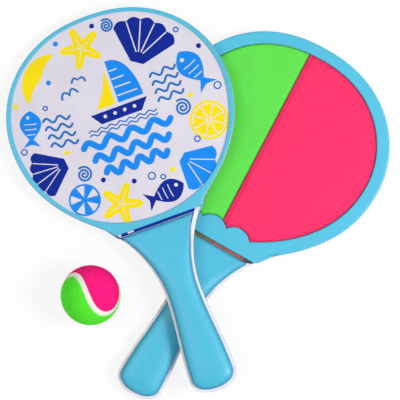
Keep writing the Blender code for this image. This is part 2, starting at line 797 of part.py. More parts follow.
def settle(carrier, place, angle, flip, below=None):
    """Lays a carrier down at a place in plan, so that it rests on the floor and what is below."""
    facing = Matrix.Rotation(angle, 4, "Z") @ Matrix.Rotation(math.pi if flip else 0.0, 4, "Y")
    slope = np.zeros(3)
    for _ in range(SETTLE_PASSES):
        height = slope[2] + slope[0] * place[0] + slope[1] * place[1]
        normal = Vector((-slope[0], -slope[1], 1.0)).normalized()
        tilt = Vector((0.0, 0.0, 1.0)).rotation_difference(normal).to_matrix().to_4x4()
        carrier.matrix_world = Matrix.Translation((place[0], place[1], height)) @ tilt @ facing
        lifts = [(vertex.x, vertex.y, -vertex.z) for vertex in world_mesh(carrier)[0]]
        if below:
            lifts += lifts_over(carrier, below)
        slope = slope + resting_plane(np.array(lifts), balance_point(carrier))


def centre_on_origin(carriers):
    """Moves everything in plan, so that the box round it is centred on the origin."""
    vertices = [vertex for carrier in carriers for vertex in world_mesh(carrier)[0]]
    middle_x = (min(v.x for v in vertices) + max(v.x for v in vertices)) / 2
    middle_y = (min(v.y for v in vertices) + max(v.y for v in vertices)) / 2
    lowest = min(v.z for v in vertices)
    shift = Matrix.Translation((-middle_x, -middle_y, -lowest))
    for carrier in carriers:
        carrier.matrix_world = shift @ carrier.matrix_world


def make_materials():
    return {
        "wood": make_material("bare_wood", BARE_WOOD, 0.7),
        "film": make_material("pale_film", PALE_FILM, 0.4),
        "navy": make_material("navy_ink", NAVY, 0.4),
        "azure": make_material("azure_ink", AZURE, 0.4),
        "yellow": make_material("yellow_ink", YELLOW, 0.4),
        "rim": make_material("rim_blue", RIM_BLUE, 0.45),
        "grip": make_material("grip_blue", LIGHT_BLUE, 0.45),
        "pink": make_material("pink_loop_pile", PAD_PINK, 0.95),
        "green": make_material("green_loop_pile", PAD_GREEN, 0.95),
        "felt_pink": make_material("pink_felt", FELT_PINK, 0.95),
        "felt_green": make_material("green_felt", FELT_GREEN, 0.95),
        "seam": make_material("seam_white", SEAM_WHITE, 0.7),
        "foam": make_material("core_foam", FOAM_GREY, 0.8),
    }


def build():
    clear_scene()
    materials = make_materials()
    front = make_paddle("front_paddle", materials)
    rear = make_paddle("rear_paddle", materials)
    ball = make_ball(materials)
    settle(rear, REAR_HEAD, REAR_ANGLE, True)
    settle(front, FRONT_HEAD, FRONT_ANGLE, False, rear)
    turn = Matrix.Identity(4)
    for amount, axis in zip(BALL_TURN, "XYZ"):
        turn = Matrix.Rotation(amount, 4, axis) @ turn
    ball.matrix_world = turn
    lowest = min(vertex.z for vertex in world_mesh(ball)[0])
    ball.matrix_world = Matrix.Translation((*BALL_PLACE, -lowest)) @ turn
    centre_on_origin([front, rear, ball])


build()
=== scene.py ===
"""Looks of the hook and loop catch set: two crossed paddles and a felt ball, seen from above.

Lengths are metres. Each paddle's pieces are made in the paddle's own frame, which is found from
its board: the origin is at the middle of the head, +Y runs to the tip and +Z out of the print.
"""
import math

import bmesh
import bpy
import numpy as np
from mathutils import Matrix, Vector, noise
from mathutils.geometry import delaunay_2d_cdt, tessellate_polygon


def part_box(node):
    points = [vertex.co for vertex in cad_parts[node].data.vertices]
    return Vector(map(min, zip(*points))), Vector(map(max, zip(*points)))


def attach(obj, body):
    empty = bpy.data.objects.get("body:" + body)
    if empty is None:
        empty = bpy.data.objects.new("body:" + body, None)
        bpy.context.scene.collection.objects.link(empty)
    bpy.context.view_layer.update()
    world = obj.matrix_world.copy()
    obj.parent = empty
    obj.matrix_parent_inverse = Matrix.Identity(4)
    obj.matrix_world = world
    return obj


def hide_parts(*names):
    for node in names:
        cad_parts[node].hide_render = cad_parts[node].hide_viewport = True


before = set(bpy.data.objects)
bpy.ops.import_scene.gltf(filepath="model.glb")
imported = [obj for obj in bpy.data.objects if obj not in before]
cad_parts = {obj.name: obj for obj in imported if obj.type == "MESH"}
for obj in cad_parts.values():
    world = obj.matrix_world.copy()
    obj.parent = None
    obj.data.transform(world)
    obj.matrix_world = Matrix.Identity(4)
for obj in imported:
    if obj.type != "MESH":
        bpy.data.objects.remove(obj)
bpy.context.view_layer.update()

# Outline of the board, as in the part
HEAD_HALF_WIDTH = 0.115
HEAD_TO_TIP = 0.101
HEAD_TO_NECK = 0.1408
SIDE_ROUNDNESS = 2.0
TIP_ROUNDNESS = 2.17
NECK_END_ROUNDNESS = 1.126
WAIST_HALF_WIDTH = 0.018
HEAD_TO_WAIST = 0.1916
BUTT_HALF_WIDTH = 0.024
WAIST_TO_BULGE = 0.0873
BULGE_TO_END = 0.0167
BUTT_ROUNDNESS = 2.16

# Slots between the rims and the grips, and the windows in the rims
SLOTS = {"print": 0.1192, "hook": 0.1236}
SLOT_WIDTH = 0.0036
WOOD_TAPER_START = 0.034
WOOD_TAPER = 0.35
WOOD_BELOW_SLOT = 0.0002
RIM_INSET = 0.0003
FILM_INSET = 0.0012
PRINT_RIM_SIDE_WIDTH = 0.005
PRINT_RIM_TIP_WIDTH = 0.0042
PRINT_WINDOW_FOOT = 0.1115
PRINT_WINDOW_SIDE_ROUNDNESS = 1.96
PRINT_WINDOW_FOOT_ROUNDNESS = 2.15
HEAD_TO_PRINT_MIDDLE = 0.0072
HOOK_RIM_SIDE_WIDTH = 0.0133
HOOK_RIM_TIP_WIDTH = 0.012
HOOK_WINDOW_REACH = 0.1143
HOOK_WINDOW_FOOT_ROUNDNESS = 1.476
SCALLOP_RADIUS = 0.0165
SCALLOP_HALF_SPACING = 0.0134
HEAD_TO_SCALLOPS = 0.115
SCALLOP_RUN_IN = 1.01
SEAM_OFFSET = -0.0098
SEAM_TILT = math.radians(1.7)
CLEARANCE = 0.0003

# Board edge, rims and grips
BOARD_EDGE_ROUND = 0.0008
PLY_PITCH = 0.002
WOOD_OLIVE_SPAN = (0.002, 0.013)
WOOD_DARK_SPAN = (-0.026, -0.036)
RIM_ROUND = 0.0015
RIM_ROUND_SHARE = 0.6
ROUNDING_FLAT = 1.25
GRIP_MARGIN = 0.0027
GRIP_CROWN_AT_SLOT = 0.0026
GRIP_SIDE_WALL = 0.0008
GRIP_ROLL = 0.0205
GRIP_ROLL_AT_SLOT = 0.0045
GRIP_LIP = 0.0012
GRIP_LIP_DROP = 0.6
GRIP_ROUNDNESS = 2.2
GRIP_CORNER = 0.0026
GRIP_SHADE_REACH = 0.0050
SLOT_EDGE_BAND = 0.00001
GRIP_SPACING = 0.0026
GRIP_RINGS = (0.00015, 0.0005, 0.0011, 0.002, 0.0032)

# How far each grip's left and right side draw in near the slot, and over what length
GRIP_SHOULDERS = {"print": ((-0.0019, 0.075), (0.0028, 0.030)),
                  "hook": ((0.0010, 0.030), (-0.0008, 0.060))}

# Film, ink and the navy band at the print side's slot
INK_RELIEF = 0.00015
FILM_BEVEL = 0.0001
INK_FOOT = 0.00001
FIELD_INK = 0.00005
LINE_INK = 0.00009
PALE_INK = 0.00012
FILM_HEM = 0.00065
NOTCH_LEFT = 0.0328
NOTCH_RIGHT = 0.0262
BAND_HALF_WIDTH = 0.0378
BAND_LEAN = 0.64
TAB_DEPTH = 0.0052

# Motifs of the print: sizes, then the place and the turn in degrees. Sizes and places are shares
# of the head's half width
STAR_RADIUS = 0.19
STAR_ARMS = 5
STAR_WAIST = 0.42
STARS = (((-0.13, 0.69), 100), ((-0.25, -0.71), 55))
FANS = (("navy", 0.36, 110, 5, (0.31, 0.44), 56), ("azure", 0.28, 110, 4, (0.40, -0.53), -48),
        ("navy", 0.29, 100, 5, (-0.62, -0.22), 187))
FISHES = (("azure", 0.40, 0.22, (0.73, 0.18), 112), ("navy", 0.36, 0.20, (0.14, -0.75), 8),
          ("azure", 0.32, 0.19, (-0.78, 0.17), 75))
SLICE = (0.17, (0.71, -0.28))
PARASOL = (0.14, (-0.54, -0.57))
CRESCENT = (0.27, 0.15, 125, (-0.47, 0.47), 135)
SQUIGGLE_ROWS = 4
SQUIGGLE_STEP = 0.075
SQUIGGLES = (((0.47, 0.26), 6), ((-0.54, 0.18), -6))
SPIRAL_TURNS = 2.2
SPIRALS = ((0.075, (0.53, -0.10)), (0.070, (-0.47, -0.36)), (0.060, (0.14, 0.80)))
GULLS = ((0.15, (-0.36, 0.33), 8), (0.12, (-0.25, 0.42), -10))
RINGS = ((0.030, (0.88, -0.02)), (0.024, (-0.90, 0.00)), (0.018, (-0.60, 0.30)),
         (0.030, (0.08, -0.57)), (0.020, (0.17, -0.61)), (0.024, (0.56, -0.40)),
         (0.020, (0.70, 0.56)))
DOT_RADIUS = 0.022
DOTS = (("navy", ((0.02, 0.84), (0.84, 0.36), (-0.08, -0.56), (-0.33, -0.46))),
        ("azure", ((-0.33, 0.80), (-0.50, 0.50))),
        ("yellow", ((-0.55, -0.13), (0.63, -0.02), (0.27, -0.58), (-0.84, 0.40))))
FINE_PEN = 0.012
PEN = 0.018

# Pads
PAD_CROWN = 0.0005
PAD_CROWN_RUN = 0.035
PAD_EDGE_DROP = 0.0011
PAD_EDGE_ROLL = 0.0030
PAD_LEAST = 0.0004
PAD_SWAY = 0.00012
PAD_SWAY_SCALE = 28.0
PAD_SWAY_SHIFT = 900.0
PAD_SHADE_REACH = 0.0013
PAD_SPACING = 0.0032
PAD_RINGS = (0.0004, 0.0009, 0.0016, 0.0026)
STITCH_INSET = 0.0040
STITCH_SLOPE = -math.tan(SEAM_TILT)
STITCH_HALF_WIDTH = 0.00045
STITCH_PITCH = 0.0016
STITCH_DASH_SHARE = 0.62
CHANNEL_DEPTH = 0.00035
CHANNEL_WIDTH = 0.0007

# Ball
FELT_THICKNESS = 0.0025
FELT_TUCK = 0.0002
FELT_EDGE_DROP = 0.0007
FELT_EDGE_RUN = 0.0016
FELT_LUMP = 0.00012
FELT_NAP = 0.00009
BALL_SEAM_WIDTH = 0.0061
BALL_SEAM_DEPTH = 0.0005
BEAD_CROWN = 0.0003
BEAD_EDGE_DEPTH = 0.0012
BEAD_GRAIN = 0.00008
SEAM_WANDER = 0.2
BALL_TURN = (math.radians(97.1), math.radians(4.3), math.radians(-164.7))

# Floor, light and camera: each softbox has a place, a side length and a power in watts
FLOOR_REACH = 3.0
FLOOR_DROP = 0.0001
FLOOR_GLOW = 0.85
WORLD_STRENGTH = 0.45
SOFTBOXES = {"key": ((0.88, -0.14, 1.2), 0.45, 13.6), "fill": ((-0.66, 0.06, 1.2), 0.55, 3.4)}
PICTURE_WIDTH = 0.400
CAMERA_PLACE = (0.002, 0.003, 3.0)
SUBJECT_HEIGHT = 0.015

# Mesh attributes: each point's place in its piece, and its distance from the piece's outline
PLACE_ATTRIBUTE = "own_place"
EDGE_ATTRIBUTE = "edge_distance"

# Fineness
TANGENT_STEPS = 900
TANGENT_HALVINGS = 50
RING_CLEAR = 0.93
ROW_PITCH = 0.866
HEAD_STEPS = 44
NECK_STEPS = 22
HANDLE_STEPS = 12
BUTT_STEPS = 18
SCALLOP_STEPS = 14
CORNER_STEPS = 5
CAP_STEPS = 6
ROUNDING_STEPS = {"board": 4, "rim": 5}
BALL_STEPS = 180
BALL_RINGS = 44


def srgb(red, green, blue):
    """Linear colour from an sRGB one of 0 to 255."""
    values = []
    for value in (red, green, blue):
        share = value / 255
        values.append(share / 12.92 if share <= 0.04045 else ((share + 0.055) / 1.055) ** 2.4)
    return tuple(values)


# Materials

def new_material(name, colour, roughness, specular, sheen=0.0, sheen_roughness=0.5):
    material = bpy.data.materials.new(name)
    material.use_nodes = True
    shader = material.node_tree.nodes["Principled BSDF"]
    shader.inputs["Base Color"].default_value = (*colour, 1.0)
    shader.inputs["Roughness"].default_value = roughness
    shader.inputs["Specular IOR Level"].default_value = specular
    shader.inputs["Sheen Weight"].default_value = sheen
    shader.inputs["Sheen Roughness"].default_value = sheen_roughness
    shader.inputs["Sheen Tint"].default_value = (*colour, 1.0)
    return material, material.node_tree, shader


def attribute(tree, name, output):
    """Socket that reads an attribute of the mesh."""
    node = tree.nodes.new("ShaderNodeAttribute")
    node.attribute_name = name
    return node.outputs[output]


def near_edge(tree, reach):
    """Share that falls from 1 at a piece's outline to 0 at a distance from it."""
    return spread(tree, attribute(tree, EDGE_ATTRIBUTE, "Fac"), reach, 0.0)


def own_parts(tree):
    """X, Y and Z of the place on a piece, in its own frame."""
    parts = tree.nodes.new("ShaderNodeSeparateXYZ")
    tree.links.new(attribute(tree, PLACE_ATTRIBUTE, "Vector"), parts.inputs["Vector"])
    return list(parts.outputs)


def texture(tree, kind, scale, stretch=(1.0, 1.0, 1.0)):
    """Texture that lies fixed on a piece."""
    mapping = tree.nodes.new("ShaderNodeMapping")
    mapping.inputs["Scale"].default_value = stretch
    tree.links.new(attribute(tree, PLACE_ATTRIBUTE, "Vector"), mapping.inputs["Vector"])
    node = tree.nodes.new(kind)
    node.inputs["Scale"].default_value = scale
    tree.links.new(mapping.outputs["Vector"], node.inputs["Vector"])
    return node


def noise_value(tree, scale, detail, *stretch):
    node = texture(tree, "ShaderNodeTexNoise", scale, *stretch)
    node.inputs["Detail"].default_value = detail
    return node.outputs["Fac"]


def calculate(tree, operation, *values, clamp=False):
    node = tree.nodes.new("ShaderNodeMath")
    node.operation = operation
    node.use_clamp = clamp
    for socket, value in zip(node.inputs, values):
        if isinstance(value, (int, float)):
            socket.default_value = value
        else:
            tree.links.new(value, socket)
    return node.outputs["Value"]


def spread(tree, value, low, high):
    """Maps a value from low..high to 0..1."""
    node = tree.nodes.new("ShaderNodeMapRange")
    node.inputs["From Min"].default_value = low
    node.inputs["From Max"].default_value = high
    tree.links.new(value, node.inputs["Value"])
    return node.outputs["Result"]


def patches(tree, scale, detail, low, high, *stretch):
    """Noise as a share: 0 where it is low and 1 where it is high."""
    return spread(tree, noise_value(tree, scale, detail, *stretch), low, high)


def blend_colours(tree, share, first, second):
    """Colour that goes from first to second with share: each is a colour or a socket."""
    node = tree.nodes.new("ShaderNodeMix")
    node.data_type = "RGBA"
    tree.links.new(share, node.inputs["Factor"])
    for name, value in (("A", first), ("B", second)):
        socket = next(item for item in node.inputs if item.name == name and item.type == "RGBA")
        if isinstance(value, tuple):
            socket.default_value = (*value, 1.0)
        else:
            tree.links.new(value, socket)
    return next(item for item in node.outputs if item.type == "RGBA")


def add_bump(tree, shader, height, strength, distance):
    node = tree.nodes.new("ShaderNodeBump")
    node.inputs["Strength"].default_value = strength
    node.inputs["Distance"].default_value = distance
    tree.links.new(height, node.inputs["Height"])
    previous = shader.inputs["Normal"]
    if previous.links:
        tree.links.new(previous.links[0].from_socket, node.inputs["Normal"])
    tree.links.new(node.outputs["Normal"], shader.inputs["Normal"])


def dress(tree, shader, base, *bumps):
    """Gives a shader its colour and its bumps: a height, a strength and a depth each."""
    tree.links.new(base, shader.inputs["Base Color"])
    for bump in bumps:
        add_bump(tree, shader, *bump)


def darker(colour, share):
    return tuple(value * share for value in colour)


def plain_finish(name, colour, roughness, specular, shade, grain_scale, grain_depth, edge=None):
    """Moulded or coated surface: slow colour drift, a fine grain and uneven gloss. edge is the
    colour of painted shade that it darkens to at its outline, and how far in."""
    material, tree, shader = new_material(name, colour, roughness, specular)
    drift = patches(tree, 22.0, 4.0, 0.3, 0.7)
    base = blend_colours(tree, drift, darker(colour, 1.0 - shade), darker(colour, 1.0 + shade / 2))
    # painted shade: the colour darkens towards the outline, as the rolled sides turn from the light
    if edge:
        near = near_edge(tree, edge[1])
        base = blend_colours(tree, calculate(tree, "MULTIPLY", near, near), base, edge[0])
    gloss = patches(tree, 160.0, 3.0, 0.0, 1.0)
    gloss_range = 0.12
    uneven = calculate(tree, "MULTIPLY_ADD", gloss, gloss_range, roughness - gloss_range / 2)
    tree.links.new(uneven, shader.inputs["Roughness"])
    dress(tree, shader, base, (noise_value(tree, grain_scale, 2.0), 0.5, grain_depth))
    return material


def core_finish():
    """Foam of the hidden core, whose mesh is the part's own and holds no places."""
    material, tree, shader = new_material("core_foam", srgb(150, 150, 154), 0.8, 0.2)
    place = tree.nodes.new("ShaderNodeTexCoord")
    cells = tree.nodes.new("ShaderNodeTexVoronoi")
    cells.inputs["Scale"].default_value = 500.0
    tree.links.new(place.outputs["Object"], cells.inputs["Vector"])
    depth = cells.outputs["Distance"]
    base = blend_colours(tree, depth, srgb(168, 168, 172), srgb(122, 122, 128))
    dress(tree, shader, base, (depth, 0.4, 0.0004))
    return material


def wood_colour(tree):
    """Bare plywood: long grain with darker pores, olive towards one end of the slot and darker
    towards the other.
    """
    figure = patches(tree, 60.0, 6.0, 0.3, 0.7, (9.0, 0.6, 1.0))
    base = blend_colours(tree, figure, srgb(134, 72, 62), srgb(186, 108, 94))
    pores = patches(tree, 300.0, 2.0, 0.62, 0.72, (8.0, 0.5, 1.0))
    base = blend_colours(tree, pores, base, srgb(104, 54, 46))
    across = own_parts(tree)[0]
    for tint_range, colour in ((WOOD_OLIVE_SPAN, srgb(112, 108, 58)), (WOOD_DARK_SPAN, srgb(62, 48, 46))):
        base = blend_colours(tree, spread(tree, across, *tint_range), base, colour)
    return base


def slot_mask(tree):
    """1 in the strip of bare wood that each face of a board shows, which tapers at its ends."""
    across, along, up = own_parts(tree)
    print_side = calculate(tree, "GREATER_THAN", up, 0.0)
    shift = calculate(tree, "MULTIPLY", print_side, SLOTS["print"] - SLOTS["hook"])
    depth = calculate(tree, "ADD", calculate(tree, "ADD", along, SLOTS["hook"]), shift)
    beyond = calculate(tree, "SUBTRACT", calculate(tree, "ABSOLUTE", across), WOOD_TAPER_START)
    taper = calculate(tree, "MULTIPLY", calculate(tree, "MAXIMUM", beyond, 0.0), WOOD_TAPER)
    low = calculate(tree, "SUBTRACT", taper, SLOT_WIDTH / 2 + WOOD_BELOW_SLOT)
    above = calculate(tree, "GREATER_THAN", depth, low)
    below = calculate(tree, "LESS_THAN", depth, SLOT_WIDTH)
    return calculate(tree, "MULTIPLY", above, below)


def tab_mask(tree):
    """1 where the slot's navy runs on past the film, beside the print side grip's shoulders."""
    across, along, up = own_parts(tree)
    high = calculate(tree, "GREATER_THAN", along, -SLOTS["print"] - TAB_DEPTH)
    left = calculate(tree, "MULTIPLY", calculate(tree, "LESS_THAN", across, 0.0), high)
    lean = calculate(tree, "MULTIPLY", calculate(tree, "ADD", along, SLOTS["print"]), BAND_LEAN)
    narrow = calculate(tree, "SUBTRACT", across, lean)
    right = calculate(tree, "LESS_THAN", narrow, BAND_HALF_WIDTH)
    right = calculate(tree, "MULTIPLY", right, calculate(tree, "GREATER_THAN", across, 0.0))
    either = calculate(tree, "ADD", left, right, clamp=True)
    return calculate(tree, "MULTIPLY", either, calculate(tree, "GREATER_THAN", up, 0.0))


def board_finish():
    """Board's faces: pale paint, with bare wood in the slots and a little of the print's navy."""
    pale = srgb(238, 240, 248)
    material, tree, shader = new_material("board_faces", pale, 0.5, 0.3)
    streaks = patches(tree, 90.0, 5.0, 0.35, 0.75, (1.0, 1.0, 3.0))
    base = blend_colours(tree, streaks, pale, srgb(222, 224, 236))
    base = blend_colours(tree, slot_mask(tree), base, wood_colour(tree))
    base = blend_colours(tree, tab_mask(tree), base, srgb(8, 44, 152))
    dress(tree, shader, base, (noise_value(tree, 700.0, 2.0), 0.4, 0.0001))
    return material


def ply_edge_finish():
    """Edge of the plywood: plies as thin light and dark bands round the rim."""
    material, tree, shader = new_material("plywood_edge", srgb(170, 130, 118), 0.7, 0.3)
    turns = calculate(tree, "MULTIPLY", own_parts(tree)[2], 2 * math.pi / PLY_PITCH)
    band = spread(tree, calculate(tree, "SINE", turns), -0.4, 0.4)
    base = blend_colours(tree, band, srgb(150, 124, 124), srgb(204, 188, 188))
    fibre = patches(tree, 500.0, 3.0, 0.35, 0.7, (1.0, 1.0, 4.0))
    base = blend_colours(tree, fibre, base, srgb(168, 142, 142))
    dress(tree, shader, base, (band, 0.3, 0.0001))
    return material


def ink_finish(name, colour, roughness=0.5):
    """Printed ink or film: nearly even, with a faint screen grain."""
    material, tree, shader = new_material(name, colour, roughness, 0.12)
    drift = patches(tree, 30.0, 5.0, 0.3, 0.7)
    base = blend_colours(tree, drift, darker(colour, 0.95), darker(colour, 1.03))
    base = blend_colours(tree, patches(tree, 1400.0, 1.0, 0.62, 0.8), base, darker(colour, 0.9))
    dress(tree, shader, base, (noise_value(tree, 120.0, 2.0), 0.2, 0.0001))
    return material


def pile_finish(name, colour, shade_colour, stitched=False):
    """Brushed loop pile: soft sheen, tiny loops and a nap that lies this way and that, with
    painted shade along its outline, where the rim shades it.
    """
    material, tree, shader = new_material(name, colour, 0.95, 0.15, 0.25)
    nap = patches(tree, 38.0, 5.0, 0.32, 0.68, (1.0, 0.6, 1.0))
    base = blend_colours(tree, nap, darker(colour, 0.95), colour)
    loops = texture(tree, "ShaderNodeTexVoronoi", 1300.0, (1.0, 0.75, 1.0)).outputs["Distance"]
    pits = calculate(tree, "MULTIPLY", spread(tree, loops, 0.35, 0.75), 0.24)
    base = blend_colours(tree, pits, base, shade_colour)
    if stitched:
        base = blend_colours(tree, stitch_mask(tree), base, shade_colour)
    # painted shade: the pile darkens along its outline, where the raised rim casts shadow on it
    base = blend_colours(tree, near_edge(tree, PAD_SHADE_REACH), base, darker(shade_colour, 0.62))
    dress(tree, shader, base, (loops, 0.7, 0.0004), (noise_value(tree, 260.0, 4.0), 0.5, 0.0005))
    return material


def stitch_mask(tree):
    """1 on the dashes of the stitched line beside the seam."""
    across, along, _ = own_parts(tree)
    lean = calculate(tree, "MULTIPLY", along, STITCH_SLOPE)
    off = calculate(tree, "SUBTRACT", across, lean)
    off = calculate(tree, "ABSOLUTE", calculate(tree, "SUBTRACT", off, SEAM_OFFSET + STITCH_INSET))
    near = calculate(tree, "LESS_THAN", off, STITCH_HALF_WIDTH)
    share = calculate(tree, "FRACT", calculate(tree, "DIVIDE", along, STITCH_PITCH))
    return calculate(tree, "MULTIPLY", near, calculate(tree, "LESS_THAN", share, STITCH_DASH_SHARE))


def felt_finish(name, colour, shade_colour):
    """Short ball felt: matted fibres with small darker hollows."""
    material, tree, shader = new_material(name, colour, 1.0, 0.1, 0.35, 0.6)
    base = blend_colours(tree, patches(tree, 420.0, 6.0, 0.5, 0.12), colour, shade_colour)
    dress(tree, shader, base, (noise_value(tree, 900.0, 5.0), 0.6, 0.0005),
          (noise_value(tree, 200.0, 3.0), 0.3, 0.0006))
    return material


def make_materials():
    rim_blue = srgb(80, 190, 222)
    grip_blue = srgb(71, 187, 219)
    return {
        "board": board_finish(),
        "edge": ply_edge_finish(),
        "film": ink_finish("print_ground", srgb(221, 217, 229), 0.45),
        "navy": ink_finish("ink_navy", srgb(3, 38, 148)),
        "azure": ink_finish("ink_azure", srgb(20, 138, 240)),
        "line": ink_finish("ink_line_blue", srgb(34, 112, 194)),
        "yellow": ink_finish("ink_yellow", srgb(248, 224, 4)),
        "pale": ink_finish("ink_pale", srgb(224, 220, 231)),
        "rim": plain_finish("foam_rim", rim_blue, 0.34, 0.42, 0.05, 420.0, 0.0003),
        # The grip darkens to a painted shade along its rolled sides
        "grip": plain_finish("soft_grip", grip_blue, 0.4, 0.5, 0.05, 520.0, 0.0002,
                             (srgb(42, 132, 172), GRIP_SHADE_REACH)),
        "pink": pile_finish("pink_pile", srgb(255, 57, 113), srgb(206, 6, 62), True),
        "green": pile_finish("green_pile", srgb(106, 232, 86), srgb(52, 176, 40)),
        "felt_pink": felt_finish("pink_felt", srgb(255, 28, 128), srgb(230, 12, 104)),
        "felt_green": felt_finish("green_felt", srgb(88, 238, 52), srgb(72, 224, 42)),
        "seam": plain_finish("seam_compound", srgb(244, 240, 232), 0.75, 0.2, 0.04, 380.0, 0.0008),
    }


# Outlines

def smoothstep(value):
    value = min(max(value, 0.0), 1.0)
    return value * value * (3.0 - 2.0 * value)


def mix(start, end, share):
    return start + (end - start) * share


def polar(reach, angle):
    """Point at a distance from the origin, in the direction of an angle."""
    return reach * math.cos(angle), reach * math.sin(angle)


def downwards(points, start=0.0):
    """Points mirrored so that they run down from y = -start."""
    return [Vector((point.x, -start - point.y)) for point in points]


def oval_quarter(half_width, reach, side_roundness, end_roundness, steps):
    """Points of a superellipse quarter from its side (x = half_width) to its end (y = reach)."""
    points = []
    for step in range(steps + 1):
        share = step / steps
        angle = share * math.pi / 2
        power = 2.0 / mix(side_roundness, end_roundness, share)
        across = half_width * max(math.cos(angle), 0.0) ** power
        along = reach * math.sin(angle) ** power
        points.append(Vector((across, along)))
    points[-1].x = 0.0
    return points


def upper_side(half_width, reach):
    """Right side of the head's upper part, from the tip down to the widest place."""
    return oval_quarter(half_width, reach, SIDE_ROUNDNESS, TIP_ROUNDNESS, HEAD_STEPS)[::-1]


def neck_arc():
    """Arc of the neck, tangent to the head's lower curve and to the waist, from head to waist."""
    head = oval_quarter(HEAD_HALF_WIDTH, HEAD_TO_NECK, SIDE_ROUNDNESS, NECK_END_ROUNDNESS,
                        TANGENT_STEPS)
    low = 0.0
    high = 4.0 * HEAD_TO_WAIST
    for _ in range(TANGENT_HALVINGS):
        radius = (low + high) / 2
        centre = Vector((WAIST_HALF_WIDTH + radius, HEAD_TO_WAIST))
        nearest = min(head, key=lambda point: (point - centre).length)
        if (nearest - centre).length > radius:
            low = radius
        else:
            high = radius
    start = math.atan2(centre.y - nearest.y, centre.x - nearest.x)
    points = []
    for step in range(NECK_STEPS + 1):
        across, along = polar(radius, mix(start, 0.0, step / NECK_STEPS))
        points.append(Vector((centre.x - across, centre.y - along)))
    return points


def board_side():
    """Right side of the board from tip to butt, as points (x, y) with y towards the tip."""
    neck = neck_arc()
    lower = oval_quarter(HEAD_HALF_WIDTH, HEAD_TO_NECK, SIDE_ROUNDNESS, NECK_END_ROUNDNESS,
                         HEAD_STEPS)
    spare = 0.3 * (lower[1] - lower[0]).length
    side = upper_side(HEAD_HALF_WIDTH, HEAD_TO_TIP)
    side += downwards([point for point in lower[1:] if point.y < neck[0].y - spare])
    side += downwards(neck)
    for step in range(1, HANDLE_STEPS + 1):
        share = step / HANDLE_STEPS
        across = mix(WAIST_HALF_WIDTH, BUTT_HALF_WIDTH, smoothstep(share))
        side.append(Vector((across, -HEAD_TO_WAIST - WAIST_TO_BULGE * share)))
    butt = oval_quarter(BUTT_HALF_WIDTH, BULGE_TO_END, BUTT_ROUNDNESS, BUTT_ROUNDNESS, BUTT_STEPS)
    return side + downwards(butt[1:], HEAD_TO_WAIST + WAIST_TO_BULGE)


def closed_outline(side):
    """Anticlockwise outline from the right side of a shape that mirrors across x = 0."""
    right = list(reversed(side))
    left = [Vector((-point.x, point.y)) for point in side if point.x > 0.0]
    return right + left


def cut_across(side, depth):
    """Right side of a shape above a straight cut at y = -depth."""
    kept = []
    for above, below in zip(side, side[1:]):
        kept.append(above)
        if below.y <= -depth < above.y:
            share = (above.y + depth) / (above.y - below.y)
            kept.append(above.lerp(below, share))
            return kept
    return kept


def below_cut(side, depth):
    """Right side of a shape below a straight cut at y = -depth."""
    kept = []
    for above, below in zip(side, side[1:]):
        if below.y < -depth <= above.y:
            kept.append(above.lerp(below, (above.y + depth) / (above.y - below.y)))
        if below.y < -depth:
            kept.append(below)
    return kept


def inset(outline, distance):
    """Moves each edge of an anticlockwise outline inwards by a distance."""
    moved = []
    for index, corner in enumerate(outline):
        before = (corner - outline[index - 1]).normalized()
        after = (outline[(index + 1) % len(outline)] - corner).normalized()
        inward = Vector((-before.y - after.y, before.x + after.x))
        moved.append(corner + inward * distance / (1.0 + before.dot(after)))
    return moved


def print_window():
    half_width = HEAD_HALF_WIDTH - PRINT_RIM_SIDE_WIDTH
    lower = oval_quarter(half_width, PRINT_WINDOW_FOOT, PRINT_WINDOW_SIDE_ROUNDNESS,
                         PRINT_WINDOW_FOOT_ROUNDNESS, HEAD_STEPS)
    upper = upper_side(half_width, HEAD_TO_TIP - PRINT_RIM_TIP_WIDTH)
    return closed_outline(upper + downwards(lower[1:]))


def hook_window(shrink):
    """Window of the hook side's rim, made smaller all round by a distance."""
    half_width = HEAD_HALF_WIDTH - HOOK_RIM_SIDE_WIDTH - shrink
    lower = oval_quarter(half_width, HOOK_WINDOW_REACH - shrink, SIDE_ROUNDNESS,
                         HOOK_WINDOW_FOOT_ROUNDNESS, HEAD_STEPS)
    centre = Vector((SCALLOP_HALF_SPACING, -HEAD_TO_SCALLOPS))
    radius = SCALLOP_RADIUS + shrink
    side = upper_side(half_width, HEAD_TO_TIP - HOOK_RIM_TIP_WIDTH - shrink)
    for corner in downwards(lower[1:]):
        if (corner - centre).length < SCALLOP_RUN_IN * radius:
            break
        side.append(corner)
    last = side[-1] - centre
    cusp = math.acos(-SCALLOP_HALF_SPACING / radius)
    start = math.atan2(last.y, last.x)
    for step in range(SCALLOP_STEPS + 1):
        side.append(centre + Vector(polar(radius, mix(start, cusp, step / SCALLOP_STEPS))))
    side[-1].x = 0.0
    return closed_outline(side)


def beside_seam(outline, sign):
    """Part of an outline on one side of the seam: sign +1 keeps the right, -1 the left."""
    normal = Vector((math.cos(SEAM_TILT), math.sin(SEAM_TILT)))
    offset = sign * SEAM_OFFSET * normal.x + CLEARANCE / 2
    kept = []
    for index, corner in enumerate(outline):
        previous = outline[index - 1]
        side_before = sign * previous.dot(normal) - offset
        side_here = sign * corner.dot(normal) - offset
        if side_before * side_here < 0.0:
            kept.append(previous.lerp(corner, side_before / (side_before - side_here)))
        if side_here > 0.0:
            kept.append(corner)
    return kept


def resampled(outline, spacing):
    """Outline with points added so that no edge is longer than a spacing."""
    points = []
    for index, corner in enumerate(outline):
        after = outline[(index + 1) % len(outline)]
        pieces = max(1, math.ceil((after - corner).length / spacing))
        points += [corner.lerp(after, piece / pieces) for piece in range(pieces)]
    return points


def as_array(points):
    return np.array([(point[0], point[1]) for point in points])


